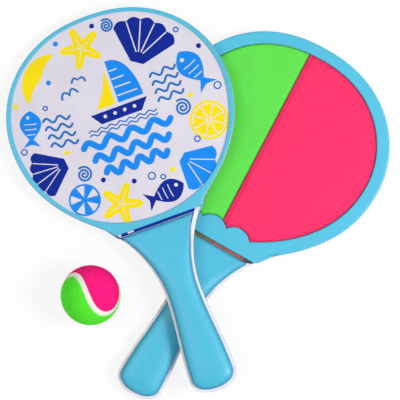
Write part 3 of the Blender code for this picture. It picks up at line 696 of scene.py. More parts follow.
def edge_distance(points, loop, closed=True):
    """Shortest distance from each point to a line of points."""
    spots = as_array(points)
    starts = as_array(loop)
    ends = np.roll(starts, -1, axis=0)
    if not closed:
        starts = starts[:-1]
        ends = ends[:-1]
    steps = ends - starts
    nearest = np.full(len(spots), np.inf)
    for start, step in zip(starts, steps):
        reach = spots - start
        share = np.clip((reach * step).sum(axis=1) / max((step ** 2).sum(), 1e-16), 0.0, 1.0)
        gap = reach - share[:, None] * step
        nearest = np.minimum(nearest, np.hypot(gap[:, 0], gap[:, 1]))
    return nearest


def inside(points, loop):
    """Whether each point lies inside a closed loop."""
    spots = as_array(points)
    corners = as_array(loop)
    result = np.zeros(len(spots), bool)
    for start, end in zip(corners, np.roll(corners, -1, axis=0)):
        crosses = (start[1] > spots[:, 1]) != (end[1] > spots[:, 1])
        rise = end[1] - start[1]
        if rise == 0.0:
            continue
        at = start[0] + (end[0] - start[0]) * (spots[:, 1] - start[1]) / rise
        result ^= crosses & (spots[:, 0] < at)
    return result


# Meshes

def add_item(name, data):
    item = bpy.data.objects.new(name, data)
    bpy.context.scene.collection.objects.link(item)
    return item


def add_object(name, vertices, faces, materials, matrix, indices=None, sharp=35.0):
    """Object whose mesh is in world space, and which keeps each point's place in the piece."""
    mesh = bpy.data.meshes.new(name)
    local = np.array([tuple(vertex) for vertex in vertices])
    turned = np.array(matrix)
    mesh.from_pydata((local @ turned[:3, :3].T + turned[:3, 3]).tolist(), [], faces)
    places = mesh.attributes.new(PLACE_ATTRIBUTE, "FLOAT_VECTOR", "POINT")
    places.data.foreach_set("vector", local.ravel())
    for material in materials:
        mesh.materials.append(material)
    if indices is not None:
        mesh.polygons.foreach_set("material_index", indices)
    work = bmesh.new()
    work.from_mesh(mesh)
    bmesh.ops.recalc_face_normals(work, faces=work.faces)
    work.to_mesh(mesh)
    work.free()
    mesh.shade_smooth()
    mesh.set_sharp_from_angle(angle=math.radians(sharp))
    return add_item(name, mesh)


def band_faces(lower, upper):
    """Quads between two closed loops with as many vertices."""
    after = [*range(1, len(lower)), 0]
    return [(lower[index], lower[beside], upper[beside], upper[index])
            for index, beside in enumerate(after)]


def fan_faces(tip, loop):
    """Triangles between a vertex and a closed loop."""
    return [(tip, vertex, loop[(index + 1) % len(loop)]) for index, vertex in enumerate(loop)]


def place_piece(item, slot, *nodes):
    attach(item, "root")
    if nodes:
        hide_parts(*nodes)
    return item


def add_slab(name, outline, levels, materials, matrix, window=None, bands=None):
    """Slab made of levels: pairs of height and how far the edge is drawn in. bands gives the
    material of each band between levels, with the top cap's last and the foot cap's first."""
    vertices = []
    faces = []
    owners = []
    rings = []
    for height, drawn_in in levels:
        loops = [inset(outline, drawn_in)]
        if window:
            loops.append(inset(window, -drawn_in))
        ring = []
        for loop in loops:
            ring.append(range(len(vertices), len(vertices) + len(loop)))
            vertices += [(point.x, point.y, height) for point in loop]
        rings.append(ring)
    bands = bands or [0] * (len(levels) + 1)
    for band, (lower, upper) in enumerate(zip(rings, rings[1:])):
        for loop_below, loop_above in zip(lower, upper):
            faces += band_faces(loop_below, loop_above)
            owners += [bands[band + 1]] * len(loop_below)
    for ring, owner in ((rings[0], bands[0]), (rings[-1], bands[-1])):
        flat = [[Vector(vertices[index]) for index in loop] for loop in ring]
        indices = [index for loop in ring for index in loop]
        for triangle in tessellate_polygon(flat):
            faces.append(tuple(indices[corner] for corner in triangle))
            owners.append(owner)
    return add_object(name, vertices, faces, materials, matrix, owners)


def rounding(height, radius, steps, upwards=True):
    """Levels of a quarter-round edge that ends at a height, with a narrow flat inside it."""
    levels = []
    for step in range(steps + 1):
        angle = math.pi / 2 * step / steps
        drop = radius * (1.0 - math.sin(angle))
        levels.append((height - drop if upwards else height + drop, radius * (1 - math.cos(angle))))
    levels.append((height, radius * ROUNDING_FLAT))
    return levels if upwards else levels[::-1]


def add_soft_top(name, outline, base, height_of, spacing, rings, material, matrix, line=None):
    """Closed piece with a flat foot and a shaped top, whose height is height_of(points). Its
    material reads the distance from a line, or else from the outline."""
    outline = resampled(outline, spacing)
    points = list(outline)
    for distance in rings:
        ring = inset(outline, distance)
        clear = edge_distance(ring, outline) > RING_CLEAR * distance
        keep = clear & inside(ring, outline)
        points += [point for point, kept in zip(ring, keep) if kept]
    corners = as_array(outline)
    low = corners.min(axis=0)
    high = corners.max(axis=0)
    grid = []
    for row, y in enumerate(np.arange(low[1], high[1], spacing * ROW_PITCH)):
        for x in np.arange(low[0] + (row % 2) * spacing / 2, high[0], spacing):
            grid.append(Vector((x, y)))
    keep = inside(grid, outline) & (edge_distance(grid, outline) > rings[-1] + spacing * 0.5)
    points += [point for point, kept in zip(grid, keep) if kept]
    count = len(outline)
    flat, _, triangles, origins, _, _ = delaunay_2d_cdt(points, [], [list(range(count))], 1, 1e-8)
    border = {}
    for index, sources in enumerate(origins):
        for source in sources:
            if source < count:
                border[source] = index
    heights = height_of(flat)
    vertices = [(point.x, point.y, height) for point, height in zip(flat, heights)]
    faces = [tuple(triangle) for triangle in triangles]
    foot = range(len(vertices), len(vertices) + count)
    vertices += [(point.x, point.y, base) for point in outline]
    faces += band_faces(foot, [border[index] for index in range(count)])
    for triangle in tessellate_polygon([[Vector((*point, base)) for point in outline]]):
        faces.append(tuple(foot[corner] for corner in triangle))
    item = add_object(name, vertices, faces, [material], matrix)
    near = edge_distance(flat, line, False) if line else edge_distance(flat, outline)
    distances = np.concatenate([near, np.zeros(count)])
    item.data.attributes.new(EDGE_ATTRIBUTE, "FLOAT", "POINT").data.foreach_set("value", distances)
    return item


# Where the part's pieces are

def node_points(name):
    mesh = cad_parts[name].data
    points = np.zeros(len(mesh.vertices) * 3)
    mesh.vertices.foreach_get("co", points)
    return np.unique(points.reshape(-1, 3).round(7), axis=0)


def paddle_frame(prefix):
    """Frame of a paddle: its board's principal axes, with +Y to the tip and +Z out of the print."""
    points = node_points(prefix + "_board")
    centre = points.mean(axis=0)
    axes = np.linalg.svd(points - centre, full_matrices=False)[2]
    along = axes[0]
    reach = (points - centre) @ along
    if reach.max() > -reach.min():
        along = -along
    up = axes[2]
    if (node_points(prefix + "_print_film").mean(axis=0) - centre) @ up < 0.0:
        up = -up
    tip = ((points - centre) @ along).max()
    origin = centre + along * (tip - HEAD_TO_TIP)
    across = np.cross(along, up)
    matrix = Matrix.Identity(4)
    for column, axis in enumerate((across, along, up, origin)):
        for row in range(3):
            matrix[row][column] = axis[row]
    return matrix


def height_span(node, matrix):
    """Lowest and highest reach of a node along the Z of a frame."""
    inverse = np.array(matrix.inverted())
    points = node_points(node)
    heights = points @ inverse[2, :3] + inverse[2, 3]
    return heights.min(), heights.max()


# Paddles

def add_board(prefix, matrix, side, materials):
    low, high = height_span(prefix + "_board", matrix)
    steps = ROUNDING_STEPS["board"]
    levels = rounding(low, BOARD_EDGE_ROUND, steps, False) + rounding(high, BOARD_EDGE_ROUND, steps)
    face, edge = 0, 1
    bands = [face] * steps + [edge] * (steps + 1) + [face] * steps
    return add_slab(prefix + "_plywood", closed_outline(side), levels,
                    [materials["board"], materials["edge"]], matrix, bands=bands)


def add_rim(name, node, matrix, side, slot, window, materials):
    low, high = height_span(node, matrix)
    outline = closed_outline(cut_across(side, slot - SLOT_WIDTH / 2 + RIM_INSET))
    radius = min(RIM_ROUND, RIM_ROUND_SHARE * (high - low))
    levels = [(low, 0.0)] + rounding(high, radius, ROUNDING_STEPS["rim"])
    return add_slab(name, inset(outline, RIM_INSET), levels, [materials["rim"]], matrix, window)


def grip_heights(sides, top, base, crown_height):
    """Height of a grip's top over the handle, which rolls down to its sides."""
    def height_of(points):
        distances = edge_distance(points, sides, False)
        heights = []
        for point, distance in zip(points, distances):
            along = smoothstep((-point.y - top) / (HEAD_TO_WAIST - top))
            crown = mix(GRIP_CROWN_AT_SLOT, crown_height, along) - GRIP_SIDE_WALL
            roll = mix(GRIP_ROLL_AT_SLOT, GRIP_ROLL, along)
            lip = mix(GRIP_LIP_DROP, 1.0, min((-point.y - top) / GRIP_LIP, 1.0) ** 0.5)
            share = min(distance / roll, 1.0)
            rise = (1.0 - (1.0 - share) ** GRIP_ROUNDNESS) ** (1 / GRIP_ROUNDNESS)
            heights.append(base + GRIP_SIDE_WALL + crown * lip * rise)
        return heights
    return height_of


def rounded_corners(outline, indices, radius):
    """Replaces the corners at some indices by small arcs."""
    points = []
    for index, corner in enumerate(outline):
        if index not in indices:
            points.append(corner)
            continue
        before = corner + (outline[index - 1] - corner).normalized() * radius
        after = corner + (outline[(index + 1) % len(outline)] - corner).normalized() * radius
        for step in range(CORNER_STEPS + 1):
            share = step / CORNER_STEPS
            points.append(before.lerp(corner, share).lerp(corner.lerp(after, share), share))
    return points


def shouldered(side, top, shoulder):
    """Side of a grip, drawn in softly near the slot. shoulder is how far, and over what length."""
    depth, length = shoulder
    drawn = []
    for point in side:
        near = 1.0 - smoothstep((-point.y - top) / length)
        drawn.append(Vector((max(point.x - depth * near, 0.0), point.y)))
    drawn[-1].x = 0.0
    return drawn


def add_grip(name, node, matrix, side, face, materials):
    low, high = height_span(node, matrix)
    top = SLOTS[face] + SLOT_WIDTH / 2
    drawn = inset(closed_outline(side), GRIP_MARGIN)
    handle = below_cut(drawn[len(side) - 1::-1], top)
    handle[-1].x = 0.0
    left, right = [shouldered(handle, top, shoulder) for shoulder in GRIP_SHOULDERS[face]]
    outline = right[::-1] + [Vector((-point.x, point.y)) for point in left[:-1]]
    outline = rounded_corners(outline, (len(handle) - 1, len(handle)), GRIP_CORNER)
    sides = [point for point in outline if point.y < -top - SLOT_EDGE_BAND]
    height_of = grip_heights(sides, top, low, high - low)
    return add_soft_top(name, outline, low, height_of, GRIP_SPACING, GRIP_RINGS,
                        materials["grip"], matrix, sides)


def pad_heights(outline, base, top, stitched):
    """Height of a pad: a low crown whose edges are pressed down, with a stitched channel."""
    def height_of(points):
        distances = edge_distance(points, outline)
        heights = []
        for point, distance in zip(points, distances):
            edge = smoothstep(distance / PAD_EDGE_ROLL) ** 0.5
            crown = PAD_CROWN * smoothstep(distance / PAD_CROWN_RUN)
            spot = Vector((point.x * PAD_SWAY_SCALE, point.y * PAD_SWAY_SCALE,
                           base * PAD_SWAY_SHIFT))
            sway = PAD_SWAY * noise.noise(spot) * edge
            height = top - PAD_EDGE_DROP * (1.0 - edge) + crown + sway
            if stitched:
                off = abs(point.x - SEAM_OFFSET - STITCH_INSET - STITCH_SLOPE * point.y)
                height -= CHANNEL_DEPTH * math.exp(-(off / CHANNEL_WIDTH) ** 2)
            heights.append(max(height, base + PAD_LEAST))
        return heights
    return height_of


def add_pad(name, node, matrix, sign, material, stitched):
    low, high = height_span(node, matrix)
    outline = beside_seam(hook_window(CLEARANCE), sign)
    height_of = pad_heights(outline, low, high, stitched)
    pad = add_soft_top(name, outline, low, height_of, PAD_SPACING, PAD_RINGS, material, matrix)
    return pad


# Print: motifs are drawn round the origin, in shares of the head's half width

def star_shape(radius):
    """Starfish, whose arms swell from a waist."""
    steps = STAR_ARMS * 16
    points = []
    for step in range(steps):
        angle = 2 * math.pi * step / steps
        bulge = (0.5 + 0.5 * math.cos(STAR_ARMS * angle)) ** 1.3
        points.append(polar(radius * mix(STAR_WAIST, 1.0, bulge), angle))
    return points


def star_marks(radius):
    """Rows of dots along a starfish's arms, left pale."""
    marks = [disc_shape(0.06 * radius)]
    for arm in range(STAR_ARMS):
        angle = 2 * math.pi * arm / STAR_ARMS
        for step in range(1, 5):
            spot = polar(radius * 0.17 * step, angle)
            marks.append(disc_shape(radius * mix(0.06, 0.032, step / 4), spot))
    return marks


def fan_shape(radius, spread_angle, lobes):
    """Fan with a lobed rim, opening along +X from a small foot."""
    foot_reach = 0.12 * radius
    foot_half_width = 0.16 * radius
    notch = 0.07 * radius
    steps = lobes * 10
    points = [(-foot_reach, -foot_half_width)]
    for step in range(steps + 1):
        share = step / steps
        reach = radius - notch * (1.0 - abs(math.sin(math.pi * lobes * share)))
        points.append(polar(reach, mix(-spread_angle / 2, spread_angle / 2, share)))
    points.append((-foot_reach, foot_half_width))
    return points


def fan_ribs(radius, spread_angle, lobes):
    """Ribs of a fan, from its foot to the notches of its rim."""
    angles = [mix(-spread_angle / 2, spread_angle / 2, rib / lobes) for rib in range(1, lobes)]
    return [spoke(0.16 * radius, 0.90 * radius, angle, 0.030 * radius) for angle in angles]


def fish_shape(length, depth):
    """Fish swimming along +X, with a forked tail."""
    body = 0.78 * length
    upper = []
    for step in range(25):
        share = step / 24
        reach = math.sin(0.94 * math.pi * share ** 0.8)
        upper.append((length / 2 - share * body, depth / 2 * reach))
    tail = [(-length * 0.5, depth * 0.42), (-length * 0.42, 0.0)]
    lower = [(x, -y) for x, y in reversed([*upper[1:], tail[0]])]
    return [*upper, *tail, *lower]


def fish_marks(length, depth):
    """Eye, gill and side stripes of a fish, left pale."""
    marks = [disc_shape(0.045 * length, (0.32 * length, 0.10 * depth))]
    for share in (0.16, 0.02, -0.12):
        height = 0.30 * depth * (1.0 - 1.6 * abs(share - 0.12))
        curve = []
        for step in range(11):
            y = mix(-height, height, step / 10)
            curve.append((length * share - 0.03 * length * math.cos(y / depth * 3.0), y))
        marks.append(stroke(curve, 0.022 * length))
    return marks


def crescent_shape(radius, thickness, spread_angle):
    outer = []
    inner = []
    for step in range(33):
        share = step / 32
        angle = mix(-spread_angle / 2, spread_angle / 2, share)
        width = thickness * math.sin(math.pi * mix(0.06, 0.94, share))
        outer.append(polar(radius, angle))
        inner.append(polar(radius - width, angle))
    return outer + inner[::-1]


def disc_shape(radius, place=(0.0, 0.0), steps=20):
    spots = [polar(radius, 2 * math.pi * step / steps) for step in range(steps)]
    return [(place[0] + x, place[1] + y) for x, y in spots]


def arc_line(radius, start, end, steps):
    """Arc between two angles in degrees."""
    return [polar(radius, math.radians(mix(start, end, step / steps))) for step in range(steps + 1)]


def wave_line(length, height, waves):
    steps = waves * 16
    points = []
    for step in range(steps + 1):
        share = step / steps
        y = height / 2 * math.sin(2 * math.pi * waves * share)
        points.append((length * (share - 0.5), y))
    return points


def spiral_line(radius):
    """Line that winds out from a middle."""
    steps = round(SPIRAL_TURNS * 18)
    points = []
    for step in range(steps + 1):
        share = step / steps
        points.append(polar(radius * mix(0.12, 1.0, share), 2 * math.pi * SPIRAL_TURNS * share))
    return points


def gull_line(span):
    """Two low arches side by side, as a bird is drawn far away."""
    points = []
    for step in range(25):
        share = step / 24
        height = abs(math.sin(2 * math.pi * share)) ** 0.7
        points.append((span * (share - 0.5), 0.30 * span * height))
    return points


def stroke(line, width):
    """Outline of a line drawn with a round pen."""
    points = [Vector(point) for point in line]
    last = len(points) - 1
    ahead = [(points[min(index + 1, last)] - points[max(index - 1, 0)]).normalized()
             for index in range(last + 1)]
    across = [Vector((-forward.y, forward.x)) * width / 2 for forward in ahead]
    left = [point + offset for point, offset in zip(points, across)]
    right = [point - offset for point, offset in zip(points, across)]
    caps = []
    for end, sign in ((0, -1), (last, 1)):
        outwards = ahead[end] * sign
        start = math.atan2(outwards.y, outwards.x) - math.pi / 2
        caps.append([points[end] + Vector(polar(width / 2, start + math.pi * step / CAP_STEPS))
                     for step in range(1, CAP_STEPS)])
    return [tuple(point) for point in [*right, *caps[1], *left[::-1], *caps[0]]]


def spoke(inner, outer, angle, width):
    """Straight stroke that runs out from a middle."""
    return stroke([polar(inner, angle), polar(outer, angle)], width)


def ring_lines(radius, width):
    """Thin ring, as two half strokes."""
    return [stroke(arc_line(radius, start, start + 180, 24), width) for start in (0, 180)]


def slice_marks(radius):
    """Pith and segment lines of a slice of citrus, left pale."""
    angles = [math.pi * cut / 4 + 0.2 for cut in range(8)]
    cuts = [spoke(0.10 * radius, 0.80 * radius, angle, 0.06 * radius) for angle in angles]
    return ring_lines(0.84 * radius, 0.07 * radius) + cuts


def parasol_marks(radius):
    """Every second panel of a parasol seen from above, left pale."""
    marks = []
    for start in range(0, 360, 72):
        foot = polar(0.16 * radius, math.radians(start + 18))
        marks.append([foot, *arc_line(0.88 * radius, start, start + 36, 8)])
    return marks


def placed(shape, place, turn=0.0):
    """A shape turned by degrees and moved to its place on the print, from shares to metres."""
    angle = math.radians(turn)
    points = []
    for x, y in shape:
        across = x * math.cos(angle) - y * math.sin(angle) + place[0]
        along = x * math.sin(angle) + y * math.cos(angle) + place[1]
        points.append((across * HEAD_HALF_WIDTH, along * HEAD_HALF_WIDTH - HEAD_TO_PRINT_MIDDLE))
    return points


def sea_motifs():
    """Ink of the print's border, as (colour, layer, shape)."""
    ink = []

    def add(colour, layer, shapes, place, turn=0.0):
        for shape in shapes:
            ink.append((colour, layer, placed(shape, place, turn)))

    def add_marked(colour, shape, marks, place, turn=0.0):
        add(colour, FIELD_INK, [shape], place, turn)
        add("pale", PALE_INK, marks, place, turn)

    for place, turn in STARS:
        add_marked("yellow", star_shape(STAR_RADIUS), star_marks(STAR_RADIUS), place, turn)
    for colour, radius, degrees, lobes, place, turn in FANS:
        sizes = (radius, math.radians(degrees), lobes)
        add_marked(colour, fan_shape(*sizes), fan_ribs(*sizes), place, turn)
    for colour, length, depth, place, turn in FISHES:
        add_marked(colour, fish_shape(length, depth), fish_marks(length, depth), place, turn)
    for colour, (radius, place), marks in (("yellow", SLICE, slice_marks),
                                           ("azure", PARASOL, parasol_marks)):
        add_marked(colour, disc_shape(radius, steps=40), marks(radius), place)
    radius, thickness, degrees, place, turn = CRESCENT
    crescent = crescent_shape(radius, thickness, math.radians(degrees))
    add("yellow", FIELD_INK, [crescent], place, turn)

    squiggle = stroke(wave_line(0.24, 0.045, 2), 0.020)
    for (across, along), turn in SQUIGGLES:
        for row in range(SQUIGGLE_ROWS):
            add("line", LINE_INK, [squiggle], (across, along - SQUIGGLE_STEP * row), turn)
    for radius, place in SPIRALS:
        add("line", LINE_INK, [stroke(spiral_line(radius), PEN)], place, 40)
    for span, place, turn in GULLS:
        add("line", LINE_INK, [stroke(gull_line(span), PEN)], place, turn)
    for radius, place in RINGS:
        add("line", LINE_INK, ring_lines(radius, FINE_PEN), place)
    for colour, spots in DOTS:
        for spot in spots:
            add(colour, LINE_INK, [disc_shape(DOT_RADIUS)], spot)
    return ink


def boat_picture():
    """Sailing boat over bold waves, in the middle of the print."""
    sail = [(0.0, 0.0)]
    for degrees in range(0, 91, 6):
        across, along = polar(1.0, math.radians(degrees))
        sail.append((0.23 * across ** 0.8, 0.38 * along))
    jib = [(0.0, 0.0), (0.0, 0.31), (-0.07, 0.14), (-0.17, 0.0)]
    hull = [(-0.18, 0.0), (0.19, 0.0), (0.27, 0.10), (-0.25, 0.10)]
    ink = []
    for row in range(3):
        band = stroke(wave_line(0.80 - 0.12 * row, 0.072, 4), 0.055)
        ink.append(("azure", FIELD_INK, placed(band, (0.0, -0.15 - 0.13 * row))))
    ink.append(("azure", FIELD_INK, placed(sail, (0.02, 0.13))))
    ink.append(("yellow", FIELD_INK, placed(jib, (-0.01, 0.13))))
    ink.append(("navy", FIELD_INK, placed(hull, (0.0, 0.0))))
    for row in range(4):
        seam = stroke([(FINE_PEN, 0.0), (0.19 * (1.0 - 0.2 * row), 0.0)], 0.011)
        ink.append(("pale", PALE_INK, placed(seam, (0.02, 0.19 + 0.075 * row))))
    for port in range(4):
        ink.append(("pale", PALE_INK, placed(disc_shape(0.016), (-0.13 + 0.09 * port, 0.055))))
    for row in range(2):
        ripple = stroke(wave_line(0.62, 0.022, 7), FINE_PEN)
        ink.append(("line", LINE_INK, placed(ripple, (0.0, -0.035 - 0.035 * row))))
    return ink


def side_at(outline, depth):
    """Half width of an outline where it crosses y = -depth."""
    widths = []
    for index, corner in enumerate(outline):
        before = outline[index - 1]
        if (before.y + depth) * (corner.y + depth) < 0.0:
            widths.append(before.lerp(corner, (before.y + depth) / (before.y - corner.y)).x)
    return max(widths)


def slot_ink(limit):
    """Navy field along the slot, with a pale notch near its left end."""
    slot = SLOTS["print"]
    top = slot - SLOT_WIDTH
    foot = slot + SLOT_WIDTH / 2 - FILM_HEM
    upper_end = BAND_HALF_WIDTH + BAND_LEAN * (slot - top)
    lower_end = BAND_HALF_WIDTH - BAND_LEAN * (foot - slot)
    band = [(-NOTCH_RIGHT, -foot), (lower_end, -foot), (upper_end, -top), (-NOTCH_RIGHT, -top)]
    joint = [(-NOTCH_LEFT, -foot), (-NOTCH_RIGHT, -foot), (-NOTCH_RIGHT, -slot),
             (-NOTCH_LEFT, -slot)]
    end = [(-NOTCH_LEFT, -top), (-BAND_HALF_WIDTH, -top), (-side_at(limit, foot), -foot),
           (-NOTCH_LEFT, -foot)]
    return [("navy", FIELD_INK, shape) for shape in (band, joint, end)]


def kept_on_film(shape, limit):
    """A shape with the points that pass the film's hidden edge drawn back to it."""
    spots = as_array(shape)
    low = np.zeros(len(spots))
    high = np.ones(len(spots))
    low[inside(spots, limit)] = 1.0
    for _ in range(16):
        middle = (low + high) / 2
        held = inside(spots * middle[:, None], limit)
        low = np.where(held, middle, low)
        high = np.where(held, high, middle)
    return [Vector((x, y)) for x, y in spots * low[:, None]]


def add_inks(prefix, matrix, film_top, limit, materials):
    """Ink of each colour as one object of thin closed plates on the film."""
    by_colour = {}
    motifs = sea_motifs() + boat_picture()
    shapes = [(colour, layer, kept_on_film(shape, limit)) for colour, layer, shape in motifs]
    shapes += [(colour, layer, [Vector(p) for p in shape])
               for colour, layer, shape in slot_ink(limit)]
    for colour, layer, shape in shapes:
        by_colour.setdefault(colour, []).append((layer, shape))
    for colour, plates in by_colour.items():
        vertices = []
        faces = []
        for layer, shape in plates:
            foot = range(len(vertices), len(vertices) + len(shape))
            top = range(foot.stop, foot.stop + len(shape))
            for height in (film_top + INK_FOOT, film_top + layer):
                vertices += [(point.x, point.y, height) for point in shape]
            faces += band_faces(foot, top)
            for triangle in tessellate_polygon([[point.to_3d() for point in shape]]):
                faces.append(tuple(foot[corner] for corner in triangle))
                faces.append(tuple(top[corner] for corner in reversed(triangle)))
        item = add_object(f"{prefix}_ink_{colour}", vertices, faces, [materials[colour]], matrix)
        place_piece(item, "print_film")


def add_film(prefix, matrix, side, materials):
    node = prefix + "_print_film"
    low, high = height_span(node, matrix)
    top = high - INK_RELIEF
    foot = SLOTS["print"] + SLOT_WIDTH / 2 - CLEARANCE
    outline = inset(closed_outline(cut_across(side, foot + FILM_INSET)), FILM_INSET)
    levels = [(low, 0.0), (top - FILM_BEVEL, 0.0), (top, FILM_BEVEL), (top, 3 * FILM_BEVEL)]
    film = add_slab(prefix + "_film", outline, levels, [materials["film"]], matrix)
    place_piece(film, "print_film", node)
    add_inks(prefix, matrix, top, inset(outline, CLEARANCE), materials)


def make_paddle(prefix, materials):
    matrix = paddle_frame(prefix)
    hook = matrix @ Matrix.Rotation(math.pi, 4, "Y")
    side = board_side()
    place_piece(add_board(prefix, matrix, side, materials), "board_wood", prefix + "_board")
    add_film(prefix, matrix, side, materials)
    faces = (("print", print_window(), matrix), ("hook", hook_window(0.0), hook))
    for face, window, turned in faces:
        rim_node = f"{prefix}_{face}_rim"
        rim = add_rim(f"{prefix}_{face}_ring", rim_node, turned, side, SLOTS[face], window,
                      materials)
        place_piece(rim, "blue_foam", rim_node)
        grip_node = f"{prefix}_{face}_grip"
        grip = add_grip(f"{prefix}_{face}_cover", grip_node, turned, side, face, materials)
        place_piece(grip, "blue_grip", grip_node)
    for colour, sign, stitched in (("pink", 1, True), ("green", -1, False)):
        node = f"{prefix}_{colour}_pad"
        pad = add_pad(f"{prefix}_{colour}_pile", node, hook, sign, materials[colour], stitched)
        place_piece(pad, f"{colour}_loop_pile", node)


# Ball

def seam_curve(steps):
    """Points and directions of the ball's seam on a unit sphere, with the pink panel round +Z."""
    points = []
    for step in range(steps):
        turn = 2 * math.pi * step / steps
        straight = 1.0 - SEAM_WANDER
        across = straight * math.cos(turn) + SEAM_WANDER * math.cos(3 * turn)
        along = straight * math.sin(turn) - SEAM_WANDER * math.sin(3 * turn)
        up = 2 * math.sqrt(straight * SEAM_WANDER) * math.sin(2 * turn)
        points.append(Vector((across, along, up)).normalized())
    normals = []
    for index, point in enumerate(points):
        forward = points[(index + 1) % steps] - points[index - 1]
        normals.append(point.cross(forward).normalized())
    return points, normals


def felt_lumps(direction):
    """Small unevenness of the felt's surface, in metres."""
    coarse = noise.noise(direction * 9.0) * FELT_LUMP
    fine = noise.fractal(direction * 46.0, 1.0, 2.0, 3) * FELT_NAP
    return coarse + fine


def add_felt(name, radius, pole_sign, material, matrix):
    """Felt panel: a curved patch with a soft edge that turns down to the seam."""
    inner = radius - FELT_THICKNESS
    points, normals = seam_curve(BALL_STEPS)
    lean = (BALL_SEAM_WIDTH / 2 - FELT_TUCK) / radius
    edge = [(point + pole_sign * normal * math.tan(lean)).normalized()
            for point, normal in zip(points, normals)]
    border = np.array([tuple(corner) for corner in edge])
    pole = Vector((0.0, 0.0, pole_sign))
    vertices = [pole * radius]
    for ring in range(1, BALL_RINGS + 1):
        share = math.sin(math.pi / 2 * ring / BALL_RINGS) ** 0.9
        for corner in edge:
            direction = pole.slerp(corner, share)
            off = np.sqrt(((border - np.array(direction)) ** 2).sum(axis=1).min()) * radius
            turn_down = FELT_EDGE_DROP * (1.0 - min(off / FELT_EDGE_RUN, 1.0)) ** 2
            vertices.append(direction * (radius - turn_down + felt_lumps(direction) - FELT_LUMP))
    for share in (1.0, 0.5):
        vertices += [pole.slerp(corner, share) * inner for corner in edge]
    vertices.append(pole * inner)
    loops = [range(first, first + BALL_STEPS) for first in range(1, len(vertices) - 1, BALL_STEPS)]
    rim, foot, middle = loops[-3:]
    faces = fan_faces(0, loops[0]) + fan_faces(len(vertices) - 1, middle)
    for lower, upper in [*zip(loops[:-3], loops[1:-2]), (foot, rim), (middle, foot)]:
        faces += band_faces(lower, upper)
    return add_object(name, vertices, faces, [material], matrix, sharp=50.0)


def add_seam(name, radius, material, matrix):
    """Band of seam compound between the panels: a low, slightly uneven bead."""
    inner = radius - FELT_THICKNESS
    points, normals = seam_curve(BALL_STEPS * 2)
    half = (BALL_SEAM_WIDTH / 2 + FELT_TUCK) / radius
    flank = radius - BEAD_EDGE_DEPTH
    section = [(-1.0, inner), (-1.0, flank)]
    section += [(across, radius - BALL_SEAM_DEPTH - BEAD_CROWN * across ** 2)
                for across in (-0.8, -0.5, -0.2, 0.2, 0.5, 0.8)]
    section += [(1.0, flank), (1.0, inner)]
    vertices = []
    for point, normal in zip(points, normals):
        wobble = 1.0 + 0.03 * noise.noise(point * 14.0)
        for across, reach in section:
            direction = (point + normal * math.tan(across * half * wobble)).normalized()
            rough = BEAD_GRAIN * noise.noise(direction * 60.0) if reach > inner else 0.0
            vertices.append(direction * (reach + rough))
    faces = []
    total = len(vertices)
    for row in range(0, total, len(section)):
        lower = range(row, row + len(section))
        faces += band_faces(lower, [(index + len(section)) % total for index in lower])
    return add_object(name, vertices, faces, [material], matrix)


def make_ball(materials):
    low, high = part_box("ball_core")
    centre = (low + high) / 2
    reaches = np.linalg.norm(node_points("ball_green_felt") - np.array(centre), axis=1)
    radius = float(reaches.max())
    turn = Matrix.Identity(4)
    for amount, axis in zip(BALL_TURN, "XYZ"):
        turn = Matrix.Rotation(amount, 4, axis) @ turn
    matrix = Matrix.Translation(centre) @ turn
    for colour, pole_sign in (("pink", 1), ("green", -1)):
        finish = materials[f"felt_{colour}"]
        felt = add_felt(f"ball_felt_{colour}", radius, pole_sign, finish, matrix)
        place_piece(felt, f"{colour}_felt", f"ball_{colour}_felt")
    seam = add_seam("ball_seam_bead", radius, materials["seam"], matrix)
    place_piece(seam, "ball_seam", "ball_seam")
    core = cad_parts["ball_core"]
    core.data.materials.clear()
    core.data.materials.append(core_finish())


# Floor, light and camera

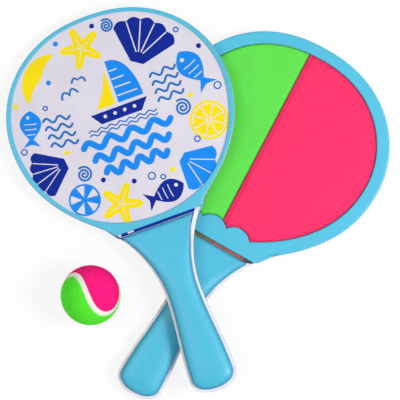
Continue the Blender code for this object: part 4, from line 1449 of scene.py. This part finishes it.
def floor_finish():
    """Pale floor, which the camera and the object's gloss see as nearly white."""
    material, tree, shader = new_material("floor_white", (0.90, 0.90, 0.90), 0.8, 0.1)
    glow = tree.nodes.new("ShaderNodeEmission")
    glow.inputs["Color"].default_value = (1.0, 1.0, 1.0, 1.0)
    path = tree.nodes.new("ShaderNodeLightPath")
    seen = path.outputs["Is Camera Ray"]
    for ray in ("Is Glossy Ray", "Is Transmission Ray"):
        seen = calculate(tree, "MAXIMUM", seen, path.outputs[ray])
    seen = calculate(tree, "MULTIPLY", seen, FLOOR_GLOW)
    both = tree.nodes.new("ShaderNodeMixShader")
    tree.links.new(seen, both.inputs["Fac"])
    tree.links.new(shader.outputs["BSDF"], both.inputs[1])
    tree.links.new(glow.outputs["Emission"], both.inputs[2])
    output = next(node for node in tree.nodes if node.type == "OUTPUT_MATERIAL")
    tree.links.new(both.outputs["Shader"], output.inputs["Surface"])
    return material


def make_floor():
    mesh = bpy.data.meshes.new("floor")
    corners = [(x * FLOOR_REACH, y * FLOOR_REACH, 0.0)
               for x, y in ((-1, -1), (1, -1), (1, 1), (-1, 1))]
    mesh.from_pydata(corners, [], [(0, 1, 2, 3)])
    mesh.materials.append(floor_finish())
    floor = add_item("floor", mesh)
    floor.location.z = -FLOOR_DROP


def make_light():
    world = bpy.data.worlds.new("studio")
    world.use_nodes = True
    background = world.node_tree.nodes["Background"]
    background.inputs["Color"].default_value = (1.0, 1.0, 1.0, 1.0)
    background.inputs["Strength"].default_value = WORLD_STRENGTH
    bpy.context.scene.world = world
    for name, (place, side, power) in SOFTBOXES.items():
        light = bpy.data.lights.new(name, "AREA")
        light.size = side
        light.energy = power
        item = add_item(name, light)
        item.location = place
        item.rotation_euler = Vector(place).to_track_quat("Z", "Y").to_euler()


def make_camera():
    """Camera straight above, framed as in a picture of 400 by 400 that spans 0.4 m."""
    camera = bpy.data.cameras.new("camera")
    camera.sensor_width = 36.0
    camera.sensor_fit = "HORIZONTAL"
    camera.lens = camera.sensor_width * (CAMERA_PLACE[2] - SUBJECT_HEIGHT) / PICTURE_WIDTH
    camera.clip_end = 20.0
    item = add_item("camera", camera)
    item.location = CAMERA_PLACE
    bpy.context.scene.camera = item


def main():
    scene = bpy.context.scene
    scene.view_settings.view_transform = "Standard"
    materials = make_materials()
    make_camera()
    for prefix in ("front_paddle", "rear_paddle"):
        make_paddle(prefix, materials)
    make_ball(materials)
    make_floor()
    make_light()


main()
